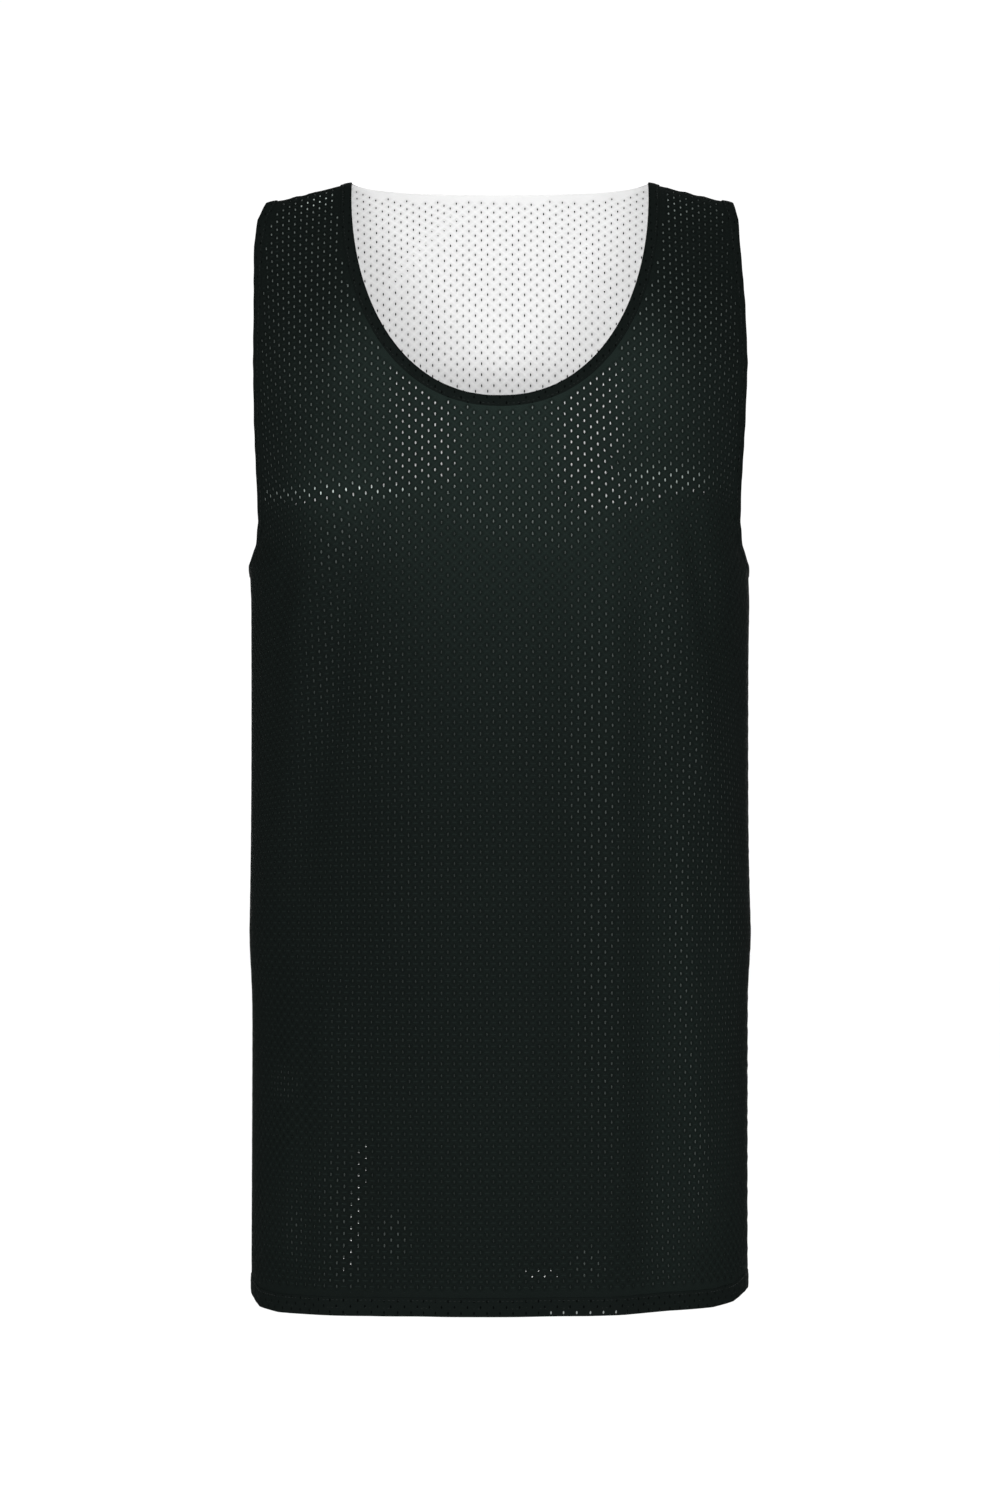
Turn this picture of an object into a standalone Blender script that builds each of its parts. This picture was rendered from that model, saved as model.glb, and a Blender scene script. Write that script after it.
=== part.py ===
"""A reversible mesh basketball jersey, worn and filled out, with no wearer inside.

Every piece is a wall of cloth read from one surface. The surface is made of level rings. A ring is named by
its drop, which is how far it lies below the neck point where it meets the side seam or the armhole. From the
hem to the chest the rings are flat ovals. From there up they close in over the shoulders. A place on a ring
is s, its distance along the cloth from the middle of the front or of the back, with +s towards +X.

+Z is up and the front faces -Y. The origin is midway between the undersides of the two straps.
"""

import math

import bpy
import numpy as np

# ---- driving dimensions, in metres ----
GARMENT_LENGTH = 0.7470
NECK_POINT_HEIGHT = 0.0078
CHEST_DROP = 0.225
SHOULDER_BLADE_DROP = 0.150
UNDERARM_DROP = 0.2566
SHOULDER_TIP_X = 0.158
SHOULDER_SLOPE = 0.25
SHOULDER_ROUNDING = 0.040
FRONT_PROFILE_POWER = 1.5
BACK_PROFILE_POWER = 1.6

NECK_HALF_WIDTH = 0.099
FRONT_NECK_DROP = 0.149
BACK_NECK_DROP = 0.0035
FRONT_NECK_POWER = 2.2
BACK_NECK_POWER = 6.0

ARMHOLE_SCOOP_HEIGHT = 0.080
FRONT_ARMHOLE_REACH = 0.48
BACK_ARMHOLE_REACH = 0.42

CLOTH = 0.0010
TURNED_EDGE = 0.0013
SEAM_GAP = 0.0003
LAYER_GAP = 0.0005
NECK_BAND = 0.0070
ARMHOLE_BAND = 0.0080
HEM_BAND = 0.0140
LINING_INSET = 0.0006
LINING_HEM_INSET = 0.0030
OUTSIDE = LAYER_GAP / 2 + CLOTH

# ---- how finely the net is drawn ----
NECK_COLUMNS = 22
STRAP_COLUMNS = 4
BODY_ROWS = 12
SCOOP_ROWS = 4
SHOULDER_ROWS = 8
HEM_EASE = 0.100
RING_STEPS = 120
STEP = 0.0005
SHARP_ANGLE = math.radians(50)

# ---- tables ----
# Half widths from the front view, to the outside of the side seam or the armhole edge.
WIDTHS = np.array(
    [
        # drop,   left,   right
        (0.0140, 0.1580, 0.1575),
        (0.0250, 0.1630, 0.1602),
        (0.0430, 0.1647, 0.1608),
        (0.0830, 0.1641, 0.1634),
        (0.1226, 0.1640, 0.1645),
        (0.1623, 0.1630, 0.1626),
        (0.2020, 0.1612, 0.1600),
        (0.2280, 0.1606, 0.1595),
        (0.2440, 0.1625, 0.1612),
        (0.2566, 0.1680, 0.1664),
        (0.2800, 0.1668, 0.1668),
        (0.5480, 0.1660, 0.1664),
        (0.7480, 0.1666, 0.1664),
    ]
)
# How far the hem's edge lies above its lowest level, at a place in the front view.
HEM_RISE = np.array(
    [
        # x,       rise
        (-0.1640, 0.0062),
        (-0.1580, 0.0012),
        (-0.1450, 0.0000),
        (0.0800, 0.0000),
        (0.1100, 0.0013),
        (0.1400, 0.0018),
        (0.1540, 0.0040),
        (0.1640, 0.0080),
    ]
)
# Depths before and behind the shoulder line, and how square each quarter of the ring is (2 is an ellipse).
RINGS = np.array(
    [
        # drop,   front,  back, front left, front right, back
        (0.0140, 0.1380, 0.1180, 3.00, 3.00, 3.00),
        (0.1500, 0.1380, 0.1180, 2.80, 2.70, 2.70),
        (0.2250, 0.1380, 0.1175, 2.60, 2.40, 2.50),
        (0.3500, 0.1360, 0.1160, 2.55, 2.25, 2.35),
        (0.4800, 0.1340, 0.1190, 2.55, 2.10, 2.25),
        (0.6150, 0.1320, 0.1230, 2.60, 2.00, 2.20),
        (0.7480, 0.1310, 0.1250, 2.85, 1.95, 2.20),
    ]
)
# Soft folds, each a ridge or, with a height below zero, a trough between two places in the front view.
FOLD_COLUMNS = ("x_top", "drop_top", "x_foot", "drop_foot", "half_width", "height")
FRONT_FOLDS = np.array(
    [
        (-0.120, 0.215, -0.152, 0.500, 0.016, 0.0035),
        (-0.092, 0.240, -0.128, 0.440, 0.014, -0.0030),
        (0.133, 0.210, 0.147, 0.278, 0.014, 0.0030),
        (0.110, 0.240, 0.155, 0.500, 0.015, 0.0035),
        (0.071, 0.220, 0.072, 0.715, 0.017, 0.0050),
        (0.096, 0.300, 0.100, 0.700, 0.016, -0.0040),
        (-0.071, 0.360, -0.071, 0.480, 0.015, 0.0025),
        (0.018, 0.280, 0.018, 0.620, 0.018, 0.0022),
        (-0.112, 0.560, -0.108, 0.748, 0.015, 0.0040),
        (-0.060, 0.640, -0.055, 0.748, 0.016, -0.0030),
        (0.030, 0.660, 0.034, 0.748, 0.018, -0.0025),
    ]
)
BACK_FOLDS = np.array(
    [
        (-0.118, 0.200, -0.140, 0.440, 0.016, 0.0035),
        (0.122, 0.190, 0.150, 0.470, 0.016, 0.0035),
        (-0.085, 0.230, -0.100, 0.520, 0.017, -0.0035),
        (0.083, 0.240, 0.092, 0.600, 0.016, -0.0035),
        (-0.040, 0.300, -0.048, 0.740, 0.018, 0.0045),
        (0.030, 0.330, 0.040, 0.700, 0.018, 0.0040),
        (-0.005, 0.420, -0.002, 0.748, 0.016, -0.0035),
        (0.110, 0.560, 0.112, 0.748, 0.016, 0.0035),
        (-0.112, 0.600, -0.115, 0.748, 0.015, -0.0030),
    ]
)

SIDES = {
    "front": {
        "facing": -1,
        "deepest": CHEST_DROP,
        "profile": FRONT_PROFILE_POWER,
        "depth": 1,
        "square": (3, 4),
        "reach": FRONT_ARMHOLE_REACH,
        "folds": FRONT_FOLDS,
    },
    "back": {
        "facing": 1,
        "deepest": SHOULDER_BLADE_DROP,
        "profile": BACK_PROFILE_POWER,
        "depth": 2,
        "square": (5, 5),
        "reach": BACK_ARMHOLE_REACH,
        "folds": BACK_FOLDS,
    },
}


# ---- the surface ----
def table(rows, column, drop):
    return np.interp(drop, rows[:, 0], rows[:, column])


def ridge_drop(x):
    """How far the shoulder line lies below the neck point, at this distance from the middle."""
    rounded = np.sqrt(np.square(x) + SHOULDER_ROUNDING**2)
    return SHOULDER_SLOPE * (rounded - math.hypot(NECK_HALF_WIDTH, SHOULDER_ROUNDING))


TIP_DROP = float(ridge_drop(SHOULDER_TIP_X))


def rise(side, drop):
    """0 at and below the deepest ring, 1 on the shoulder line."""
    deepest = SIDES[side]["deepest"]
    return min(max((deepest - drop) / (deepest - TIP_DROP), 0.0), 1.0)


def scoop(drop, inset):
    """0 at the bottom of the armhole's curve and below, 1 where its edge runs straight up."""
    turn = (UNDERARM_DROP + inset - drop) / (ARMHOLE_SCOOP_HEIGHT + inset)
    return math.sqrt(1 - (1 - min(max(turn, 0.0), 1.0)) ** 2)


class Ring:
    """Half a level ring, front or back, as a fine line of points with their distances along it."""

    def __init__(self, side, drop):
        facts = SIDES[side]
        lift = rise(side, drop)
        depth = table(RINGS, facts["depth"], drop) * (1 - lift ** facts["profile"]) ** (1 / facts["profile"])
        halves = []
        self.cut = {}
        for hand, width_column, square_column in ((-1, 1, facts["square"][0]), (1, 2, facts["square"][1])):
            power = table(RINGS, square_column, drop)
            edge = facts["reach"] * scoop(drop, 0)
            half_width = (table(WIDTHS, width_column, drop) - OUTSIDE) / (1 - edge**power) ** (1 / power)
            angle = np.linspace(0, math.pi / 2, RING_STEPS + 1)
            x = hand * half_width * np.sin(angle) ** (2 / power)
            y = facts["facing"] * depth * np.maximum(np.cos(angle), 0) ** (2 / power)
            z = self.height(facts["deepest"], lift, drop, x)
            line = np.stack([x, y, z], axis=1)
            along = np.concatenate([[0], np.cumsum(np.linalg.norm(np.diff(line, axis=0), axis=1))])
            edge_angle = math.acos(facts["reach"] ** (power / 2))
            self.cut[hand] = along[-1] - np.interp(edge_angle, angle, along)
            halves.append((line, along))
        (left, left_along), (right, right_along) = halves
        self.line = np.concatenate([left[:0:-1], right])
        self.s = np.concatenate([-left_along[:0:-1], right_along])
        self.full = {-1: left_along[-1], 1: right_along[-1]}
        self.drop = drop

    @staticmethod
    def height(deepest, lift, drop, x):
        if lift == 0:
            return np.full_like(x, NECK_POINT_HEIGHT - drop)
        return NECK_POINT_HEIGHT - deepest + lift * (deepest - ridge_drop(x))

    def edge(self, hand, inset):
        """The distance s of the side seam, or of a line that far inside the armhole's edge."""
        return hand * (self.full[hand] - (self.cut[hand] + inset) * scoop(self.drop, inset))

    def at(self, s):
        return np.array([np.interp(s, self.s, self.line[:, axis]) for axis in range(3)])

    def trimmed(self, hand, inset):
        return self.full[hand] - abs(self.edge(hand, inset))

    def share(self, s, inset):
        """Where s lies between the middle, 0, and the piece's edge, 1. Where the armhole cuts a piece away,
        its shares lie wider apart towards the middle."""
        hand = 1 if s > 0 else -1
        full = self.full[hand]
        return 2 * abs(s) / (full + math.sqrt(full**2 - 4 * self.trimmed(hand, inset) * abs(s)))

    def distance(self, hand, share, inset):
        return hand * share * (self.full[hand] - share * self.trimmed(hand, inset))


def fold_height(side, x, drop):
    """How far the folds carry the cloth outwards at a place in the front view."""
    total = 0.0
    for row in SIDES[side]["folds"]:
        fold = dict(zip(FOLD_COLUMNS, row))
        share = (drop - fold["drop_top"]) / (fold["drop_foot"] - fold["drop_top"])
        middle = fold["x_top"] + (fold["x_foot"] - fold["x_top"]) * min(max(share, 0.0), 1.0)
        across = math.exp(-(((x - middle) / fold["half_width"]) ** 2))
        past = max(-share, share - 1, 0.0) * (fold["drop_foot"] - fold["drop_top"])
        total += fold["height"] * across * math.exp(-((past / fold["half_width"] / 2) ** 2))
    return total


def surface(side, drop, s):
    """The meeting face of the two layers of cloth. Past a side seam or the shoulder line it is its own
    mirror image, so that its normal there points straight away from the seam."""
    turned = 1
    if drop < TIP_DROP:
        drop = 2 * TIP_DROP - drop
        turned = -turned
    ring = Ring(side, drop)
    full = ring.full[1 if s > 0 else -1]
    if abs(s) > full:
        s = math.copysign(2 * full - abs(s), s)
        turned = -turned
    x, y, z = ring.at(s)
    reach = math.hypot(x, y)
    swell = 1 + fold_height(side, x, drop) * (1 - rise(side, drop)) / reach
    return np.array([x * swell, y * swell * turned, z])


def outward(side, drop, s):
    """The unit normal of the surface, away from the wearer."""
    right = surface(side, drop, s + STEP)
    left = surface(side, drop, s - STEP)
    above = surface(side, drop - STEP, s)
    below = surface(side, drop + STEP, s)
    normal = np.cross(right - left, above - below) * -SIDES[side]["facing"]
    return normal / np.linalg.norm(normal)


# ---- the cut, as places (drop, s) on the surface ----
def neck_place(side, share, inset):
    """A place on the neck edge, or that far outside it, share running from -1 to 1 over the opening, with
    even steps of share closer together towards the shoulders."""
    half_width = NECK_HALF_WIDTH + inset
    shoulder = float(ridge_drop(half_width))
    turn = math.sin(share * math.pi / 2) * math.pi / 2
    if side == "front":
        x = half_width * math.copysign(abs(math.sin(turn)) ** (2 / FRONT_NECK_POWER), turn)
        fall = (FRONT_NECK_DROP + inset - shoulder) * math.cos(turn) ** (2 / FRONT_NECK_POWER)
    else:
        x = half_width * math.sin(turn)
        fall = (BACK_NECK_DROP + inset) * (1 - abs(x / half_width) ** BACK_NECK_POWER)
    deepest = SIDES[side]["deepest"]
    lift = min((deepest - shoulder - fall) / (deepest - float(ridge_drop(x))), 1.0)
    drop = deepest - lift * (deepest - TIP_DROP)
    ring = Ring(side, drop)
    return drop, float(np.interp(x, ring.line[:, 0], ring.s))


def neck_shares():
    return [-1 + 2 * i / NECK_COLUMNS for i in range(NECK_COLUMNS + 1)]


def armhole_places(side, hand, inset):
    """Places up the armhole edge, or that far inside it, from the side seam to the shoulder line."""
    turns = [i / SCOOP_ROWS * math.pi / 2 for i in range(SCOOP_ROWS + 1)]
    drops = [UNDERARM_DROP + inset - (ARMHOLE_SCOOP_HEIGHT + inset) * (1 - math.cos(turn)) for turn in turns]
    start = UNDERARM_DROP - ARMHOLE_SCOOP_HEIGHT
    for i in range(1, SHOULDER_ROWS + 1):
        drops.append(start - (start - TIP_DROP) * math.sin(i / SHOULDER_ROWS * math.pi / 2))
    return [(drop, Ring(side, drop).edge(hand, inset)) for drop in drops]


def hem_place(side, s, inset):
    """A place on the hem's edge, or that far above it."""
    x = Ring(side, GARMENT_LENGTH).at(s)[0]
    return GARMENT_LENGTH - inset - float(table(HEM_RISE, 1, x)), s


def row_drops():
    """The drops at which the rows of a panel meet its side edges, from the hem up."""
    foot = GARMENT_LENGTH - HEM_BAND - SEAM_GAP
    top = UNDERARM_DROP + ARMHOLE_BAND + SEAM_GAP
    drops = [foot + (top - foot) * i / BODY_ROWS for i in range(BODY_ROWS)]
    return drops + [drop for drop, _ in armhole_places("front", 1, ARMHOLE_BAND + SEAM_GAP)]


def top_places(side):
    """Where the columns of a panel end: on the shoulder line, then round the neck, then on the shoulder."""
    inset = NECK_BAND + SEAM_GAP
    ridge = Ring(side, TIP_DROP)
    places = [neck_place(side, share, inset) for share in neck_shares()]
    for hand in (-1, 1):
        neck = abs(places[0 if hand < 0 else -1][1])
        tip = abs(ridge.edge(hand, ARMHOLE_BAND + SEAM_GAP))
        steps = [(tip - neck) * i / STRAP_COLUMNS for i in range(1, STRAP_COLUMNS + 1)]
        strap = [(TIP_DROP, hand * (neck + step)) for step in steps]
        places = strap[::-1] + places if hand < 0 else places + strap
    return places


def panel_places(side):
    """The rows of places of a panel, hem first, each row from left to right."""
    drops = row_drops()
    foot = drops[0]
    tops = top_places(side)
    columns = len(tops) - 1
    inset = ARMHOLE_BAND + SEAM_GAP
    rows = []
    for drop in drops:
        climb = (foot - drop) / (foot - TIP_DROP)
        blend = climb * climb * (3 - 2 * climb)
        row = []
        for i, (top_drop, top_s) in enumerate(tops):
            even = 2 * i / columns - 1
            hand = 1 if even > 0 else -1
            edge = Ring(side, foot)
            low, _ = hem_place(side, edge.distance(hand, abs(even), inset), HEM_BAND + SEAM_GAP)
            here = foot + (drop - foot) * (foot - top_drop) / (foot - TIP_DROP)
            here += (low - foot) * max(1 - (foot - drop) / HEM_EASE, 0)
            ring = Ring(side, here)
            goal = Ring(side, top_drop).share(top_s, inset)
            share = abs(even) * (1 - blend) + goal * blend
            row.append((here, ring.distance(hand, share, inset)))
        rows.append(row)
    return rows


# ---- meshes ----
def placed(side, places, seam_gap):
    """Points of the surface with their normals, aside from the seams by half the gap between pieces."""
    aside = np.array([0, SIDES[side]["facing"] * seam_gap / 2, 0])
    return [(surface(side, drop, s) + aside, outward(side, drop, s)) for drop, s in places]


class Net:
    """An open surface of triangles that grows strip by strip."""

    def __init__(self):
        self.points = []
        self.faces = []

    def add(self, points):
        first = len(self.points)
        self.points.extend(points)
        return list(range(first, first + len(points)))

    def strip(self, lower, upper, outward_up):
        """Pairs of triangles between two lines of points that run to the right. outward_up is True when the
        upper line lies above the lower, seen from outside."""
        for i in range(len(lower) - 1):
            a, b, c, d = lower[i], lower[i + 1], upper[i + 1], upper[i]
            middle = self.points[a][0][0] + self.points[b][0][0]
            halves = ((a, b, c), (a, c, d)) if middle > 0 else ((a, b, d), (b, c, d))
            self.faces.extend(half if outward_up else half[::-1] for half in halves)

    def rim(self):
        """The edges that only one triangle has, each in that triangle's direction."""
        edges = {edge for face in self.faces for edge in zip(face, face[1:] + face[:1])}
        return [edge for edge in sorted(edges) if edge[::-1] not in edges]


def material(name, colour, roughness):
    finish = bpy.data.materials.new(name)
    finish.use_nodes = True
    shader = finish.node_tree.nodes["Principled BSDF"]
    shader.inputs["Base Color"].default_value = (*colour, 1)
    shader.inputs["Roughness"].default_value = roughness
    shader.inputs["Metallic"].default_value = 0
    finish.diffuse_color = (*colour, 1)
    return finish


def wall(name, net, inside, thickness, finish, collection):
    """A closed cloth wall, its inner face at inside from the surface. Both faces follow the surface's own
    normals, so that layers over each other stay parallel and seams stay square."""
    count = len(net.points)
    vertices = []
    for lift in (inside, inside + thickness):
        vertices.extend(tuple(point + normal * lift) for point, normal in net.points)
    faces = [face[::-1] for face in net.faces]
    faces.extend(tuple(corner + count for corner in face) for face in net.faces)
    faces.extend((b + count, a + count, a, b) for a, b in net.rim())
    mesh = bpy.data.meshes.new(name)
    mesh.from_pydata(vertices, [], faces)
    mesh.shade_smooth()
    mesh.set_sharp_from_angle(angle=SHARP_ANGLE)
    mesh.materials.append(finish)
    piece = bpy.data.objects.new(name, mesh)
    collection.objects.link(piece)
    return piece


def panel_net(side):
    net = Net()
    rows = [net.add(placed(side, row, SEAM_GAP)) for row in panel_places(side)]
    for lower, upper in zip(rows, rows[1:]):
        net.strip(lower, upper, side == "front")
    return net, rows


def outer_panel(side, finish, collection):
    net, _ = panel_net(side)
    return wall(f"outer_{side}", net, LAYER_GAP / 2, CLOTH, finish, collection)


def inner_panel(side, finish, collection):
    """The inner layer repeats the outer panel's points and runs on under the bands."""
    net, rows = panel_net(side)
    is_front = side == "front"
    columns = len(rows[0])
    hem = [hem_place(side, s, LINING_HEM_INSET) for _, s in panel_places(side)[0]]
    net.strip(net.add(placed(side, hem, SEAM_GAP)), rows[0], is_front)
    neck = [neck_place(side, share, LINING_INSET) for share in neck_shares()]
    below_neck = rows[-1][STRAP_COLUMNS : columns - STRAP_COLUMNS]
    net.strip(below_neck, net.add(placed(side, neck, SEAM_GAP)), is_front)
    for hand in (-1, 1):
        edge = net.add(placed(side, armhole_places(side, hand, LINING_INSET), SEAM_GAP))
        beside = [row[0 if hand < 0 else -1] for row in rows[BODY_ROWS:]]
        net.strip(beside, edge, is_front == (hand < 0))
    return wall(f"inner_{side}", net, -LAYER_GAP / 2 - CLOTH, CLOTH, finish, collection)


def band(name, lines_of_side, finish, collection):
    """A ring of turned cloth from a strip in front and a strip behind, which share their ends."""
    net = Net()
    ends = []
    for side in ("front", "back"):
        lower, upper, outward_up = lines_of_side(side)
        lines = []
        for places in (lower, upper):
            points = placed(side, places, 0)
            if side == "front":
                lines.append(net.add(points))
            else:
                first, last = ends[len(lines)]
                lines.append([first] + net.add(points[1:-1]) + [last])
        net.strip(*lines, outward_up)
        ends = [(line[0], line[-1]) for line in lines]
    return wall(name, net, LAYER_GAP / 2, TURNED_EDGE, finish, collection)


def neck_band(finish, collection):
    def lines(side):
        lower = [neck_place(side, share, NECK_BAND) for share in neck_shares()]
        upper = [neck_place(side, share, 0) for share in neck_shares()]
        return lower, upper, side == "front"

    return band("neck_band", lines, finish, collection)


def armhole_band(hand, finish, collection):
    def lines(side):
        outward_up = (side == "front") == (hand < 0)
        return armhole_places(side, hand, ARMHOLE_BAND), armhole_places(side, hand, 0), outward_up

    name = "armhole_band_left" if hand < 0 else "armhole_band_right"
    return band(name, lines, finish, collection)


def hem_band(finish, collection):
    def lines(side):
        distances = [s for _, s in panel_places(side)[0]]
        lower = [hem_place(side, s, 0) for s in distances]
        upper = [hem_place(side, s, HEM_BAND) for s in distances]
        return lower, upper, side == "front"

    return band("hem_band", lines, finish, collection)


def main():
    for thing in list(bpy.data.objects):
        bpy.data.objects.remove(thing)
    collection = bpy.data.collections.new("basketball_jersey")
    bpy.context.scene.collection.children.link(collection)

    outer = material("outer_mesh", (0.012, 0.016, 0.015), 0.75)
    inner = material("inner_mesh", (0.80, 0.80, 0.79), 0.80)
    edge = material("turned_edge", (0.010, 0.013, 0.012), 0.80)
    for side in ("front", "back"):
        outer_panel(side, outer, collection)
        inner_panel(side, inner, collection)
    neck_band(edge, collection)
    for hand in (-1, 1):
        armhole_band(hand, edge, collection)
    hem_band(edge, collection)


main()
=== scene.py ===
"""A reversible mesh basketball jersey in real cloth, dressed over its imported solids.

Both layers are read from one surface of level rings, like the solids. A place on a ring is s, its distance
along the cloth from the middle of the front or the back, with +s towards +X. A ring's drop is how far it lies
below the neck point. In the flat cloth a place is (s, t), where t is its height up the cloth above the hem.
"""

import math
from functools import partial

import bmesh
import bpy
import numpy as np
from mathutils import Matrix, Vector
from mathutils.geometry import delaunay_2d_cdt
from mathutils.kdtree import KDTree


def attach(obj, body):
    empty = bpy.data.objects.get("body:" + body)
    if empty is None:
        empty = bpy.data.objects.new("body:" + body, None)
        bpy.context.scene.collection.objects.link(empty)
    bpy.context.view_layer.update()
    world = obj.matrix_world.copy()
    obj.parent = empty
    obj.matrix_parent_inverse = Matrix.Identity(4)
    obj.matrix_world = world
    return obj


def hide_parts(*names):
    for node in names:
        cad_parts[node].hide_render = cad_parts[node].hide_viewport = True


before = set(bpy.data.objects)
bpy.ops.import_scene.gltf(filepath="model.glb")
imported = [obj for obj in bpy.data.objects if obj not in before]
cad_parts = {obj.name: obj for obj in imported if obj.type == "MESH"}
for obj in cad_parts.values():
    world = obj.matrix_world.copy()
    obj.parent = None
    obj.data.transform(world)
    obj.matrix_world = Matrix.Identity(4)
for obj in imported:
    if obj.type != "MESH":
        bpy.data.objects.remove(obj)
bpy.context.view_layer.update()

# ---- the cut, in metres ----
GARMENT_LENGTH = 0.7470
NECK_POINT_HEIGHT = 0.0078
CHEST_DROP = 0.225
SHOULDER_BLADE_DROP = 0.150
UNDERARM_DROP = 0.2566
SHOULDER_TIP_X = 0.158
SHOULDER_SLOPE = 0.25
SHOULDER_ROUNDING = 0.040
NECK_HALF_WIDTH = 0.099
FRONT_NECK_DROP = 0.149
BACK_NECK_DROP = 0.0035
FRONT_NECK_POWER = 2.2
BACK_NECK_POWER = 6.0
ARMHOLE_SCOOP_HEIGHT = 0.080
NECK_BAND = 0.0070
ARMHOLE_BAND = 0.0080
HEM_BAND = 0.0122
OUTSIDE = 0.00125

# Half widths from the front view, to the outside of the side seam or the armhole edge.
WIDTHS = [
    # drop, left, right
    (0.014, 0.158, 0.1575),
    (0.025, 0.163, 0.1602),
    (0.043, 0.1647, 0.1608),
    (0.083, 0.1641, 0.1634),
    (0.1226, 0.164, 0.1645),
    (0.1623, 0.163, 0.1626),
    (0.202, 0.1612, 0.16),
    (0.228, 0.1606, 0.1595),
    (0.244, 0.1625, 0.1612),
    (0.2566, 0.168, 0.1664),
    (0.28, 0.1668, 0.1668),
    (0.548, 0.166, 0.1664),
    (0.748, 0.1666, 0.1664),
]
# How far the hem's edge lies above its main level, at a place in the front view.
HEM_RISE = [
    # x, rise
    (-0.164, 0.0062), (-0.158, 0.0006), (-0.145, -0.0008), (-0.11, 0.0),
    (0.08, 0.0), (0.11, 0.0009), (0.14, 0.0006), (0.154, 0.0024),
    (0.164, 0.0078),
]
# Depths before and behind the shoulder line, and how square each quarter of the ring is (2 is an ellipse).
RINGS = [
    # drop, front, back, front left, front right, back
    (0.014, 0.138, 0.118, 3.0, 3.0, 3.0),
    (0.15, 0.138, 0.118, 2.8, 2.7, 2.7),
    (0.225, 0.138, 0.1175, 2.6, 2.4, 2.5),
    (0.35, 0.136, 0.116, 2.55, 2.25, 2.35),
    (0.48, 0.134, 0.119, 2.55, 2.1, 2.25),
    (0.615, 0.132, 0.123, 2.6, 2.0, 2.2),
    (0.748, 0.131, 0.125, 2.85, 1.95, 2.2),
]
# Soft folds between two places in the front view, troughs where the height is below zero. The first 11 in
# front and 9 behind are the solids' own, two of them shallower. The others are creases of the cloth.
FRONT_FOLDS = [
    # top x, top drop, foot x, foot drop, half width, height
    (-0.12, 0.215, -0.152, 0.5, 0.016, 0.0035),
    (-0.092, 0.24, -0.128, 0.44, 0.014, -0.003),
    (0.133, 0.21, 0.147, 0.278, 0.014, 0.003),
    (0.11, 0.24, 0.155, 0.5, 0.015, 0.0035),
    (0.071, 0.22, 0.072, 0.715, 0.017, 0.0045),
    (0.096, 0.3, 0.1, 0.7, 0.016, -0.0022),
    (-0.071, 0.36, -0.071, 0.48, 0.015, 0.0025),
    (0.018, 0.28, 0.018, 0.62, 0.018, 0.0022),
    (-0.112, 0.56, -0.108, 0.748, 0.015, 0.004),
    (-0.06, 0.64, -0.055, 0.748, 0.016, -0.003),
    (0.03, 0.66, 0.034, 0.748, 0.018, -0.0025),
    (-0.1, 0.208, -0.134, 0.3, 0.007, 0.0012),
    (-0.138, 0.262, -0.15, 0.42, 0.006, -0.0012),
    (0.142, 0.268, 0.128, 0.39, 0.007, 0.0012),
    (0.122, 0.236, 0.14, 0.33, 0.006, -0.001),
    (0.12, 0.42, 0.132, 0.64, 0.008, 0.0014),
    (-0.132, 0.52, -0.14, 0.69, 0.008, 0.0012),
    (-0.086, 0.59, -0.084, 0.735, 0.007, -0.0012),
    (0.052, 0.56, 0.056, 0.73, 0.008, 0.0011),
    (-0.02, 0.5, -0.024, 0.7, 0.009, 0.001),
]
BACK_FOLDS = [
    (-0.118, 0.2, -0.14, 0.44, 0.016, 0.0035),
    (0.122, 0.19, 0.15, 0.47, 0.016, 0.0035),
    (-0.085, 0.23, -0.1, 0.52, 0.017, -0.0035),
    (0.083, 0.24, 0.092, 0.6, 0.016, -0.0035),
    (-0.04, 0.3, -0.048, 0.74, 0.018, 0.0045),
    (0.03, 0.33, 0.04, 0.7, 0.018, 0.004),
    (-0.005, 0.42, -0.002, 0.748, 0.016, -0.0035),
    (0.11, 0.56, 0.112, 0.748, 0.016, 0.0035),
    (-0.112, 0.6, -0.115, 0.748, 0.015, -0.003),
    (-0.14, 0.268, -0.122, 0.38, 0.007, 0.0012),
    (0.138, 0.262, 0.126, 0.4, 0.007, 0.0013),
    (-0.066, 0.42, -0.07, 0.62, 0.009, 0.0013),
    (0.064, 0.5, 0.068, 0.72, 0.008, -0.0012),
    (0.136, 0.43, 0.14, 0.66, 0.008, 0.0012),
    (-0.136, 0.5, -0.134, 0.7, 0.008, -0.0011),
    (-0.02, 0.56, -0.026, 0.735, 0.008, 0.0011),
]
# Which way a side faces, the drop where it is deepest, the power of its curve up to the shoulders, its own
# columns of the rings, how far in the armhole is cut, and its folds.
SIDES = {
    "front": {
        "facing": -1,
        "deepest": CHEST_DROP,
        "profile": 1.5,
        "depth": 1,
        "square": (3, 4),
        "reach": 0.48,
        "folds": FRONT_FOLDS,
    },
    "back": {
        "facing": 1,
        "deepest": SHOULDER_BLADE_DROP,
        "profile": 1.6,
        "depth": 2,
        "square": (5, 5),
        "reach": 0.42,
        "folds": BACK_FOLDS,
    },
}

# ---- the edges of the two layers ----
TUCK = 0.0025
HOLE_CLEAR = 0.0022
HEM_CLEAR = 0.0040
SEAM_CLEAR = 0.0036
SEAM_FLAT = 0.012
LINING_INSET = 0.0006
LINING_HEM_INSET = 0.0030
LINING_NECK_INSET = {"front": 0.0008, "back": 0.0}
LINING_NECK_CLEAR = {"front": 0.0022, "back": 0.0032}
EDGE_REACH = 0.010
EDGE_GAP = 0.0013
UNDER_BAND = 0.0001

# ---- the mesh cloth ----
OUTER_PITCH = (0.00842, 0.00764)
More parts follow.
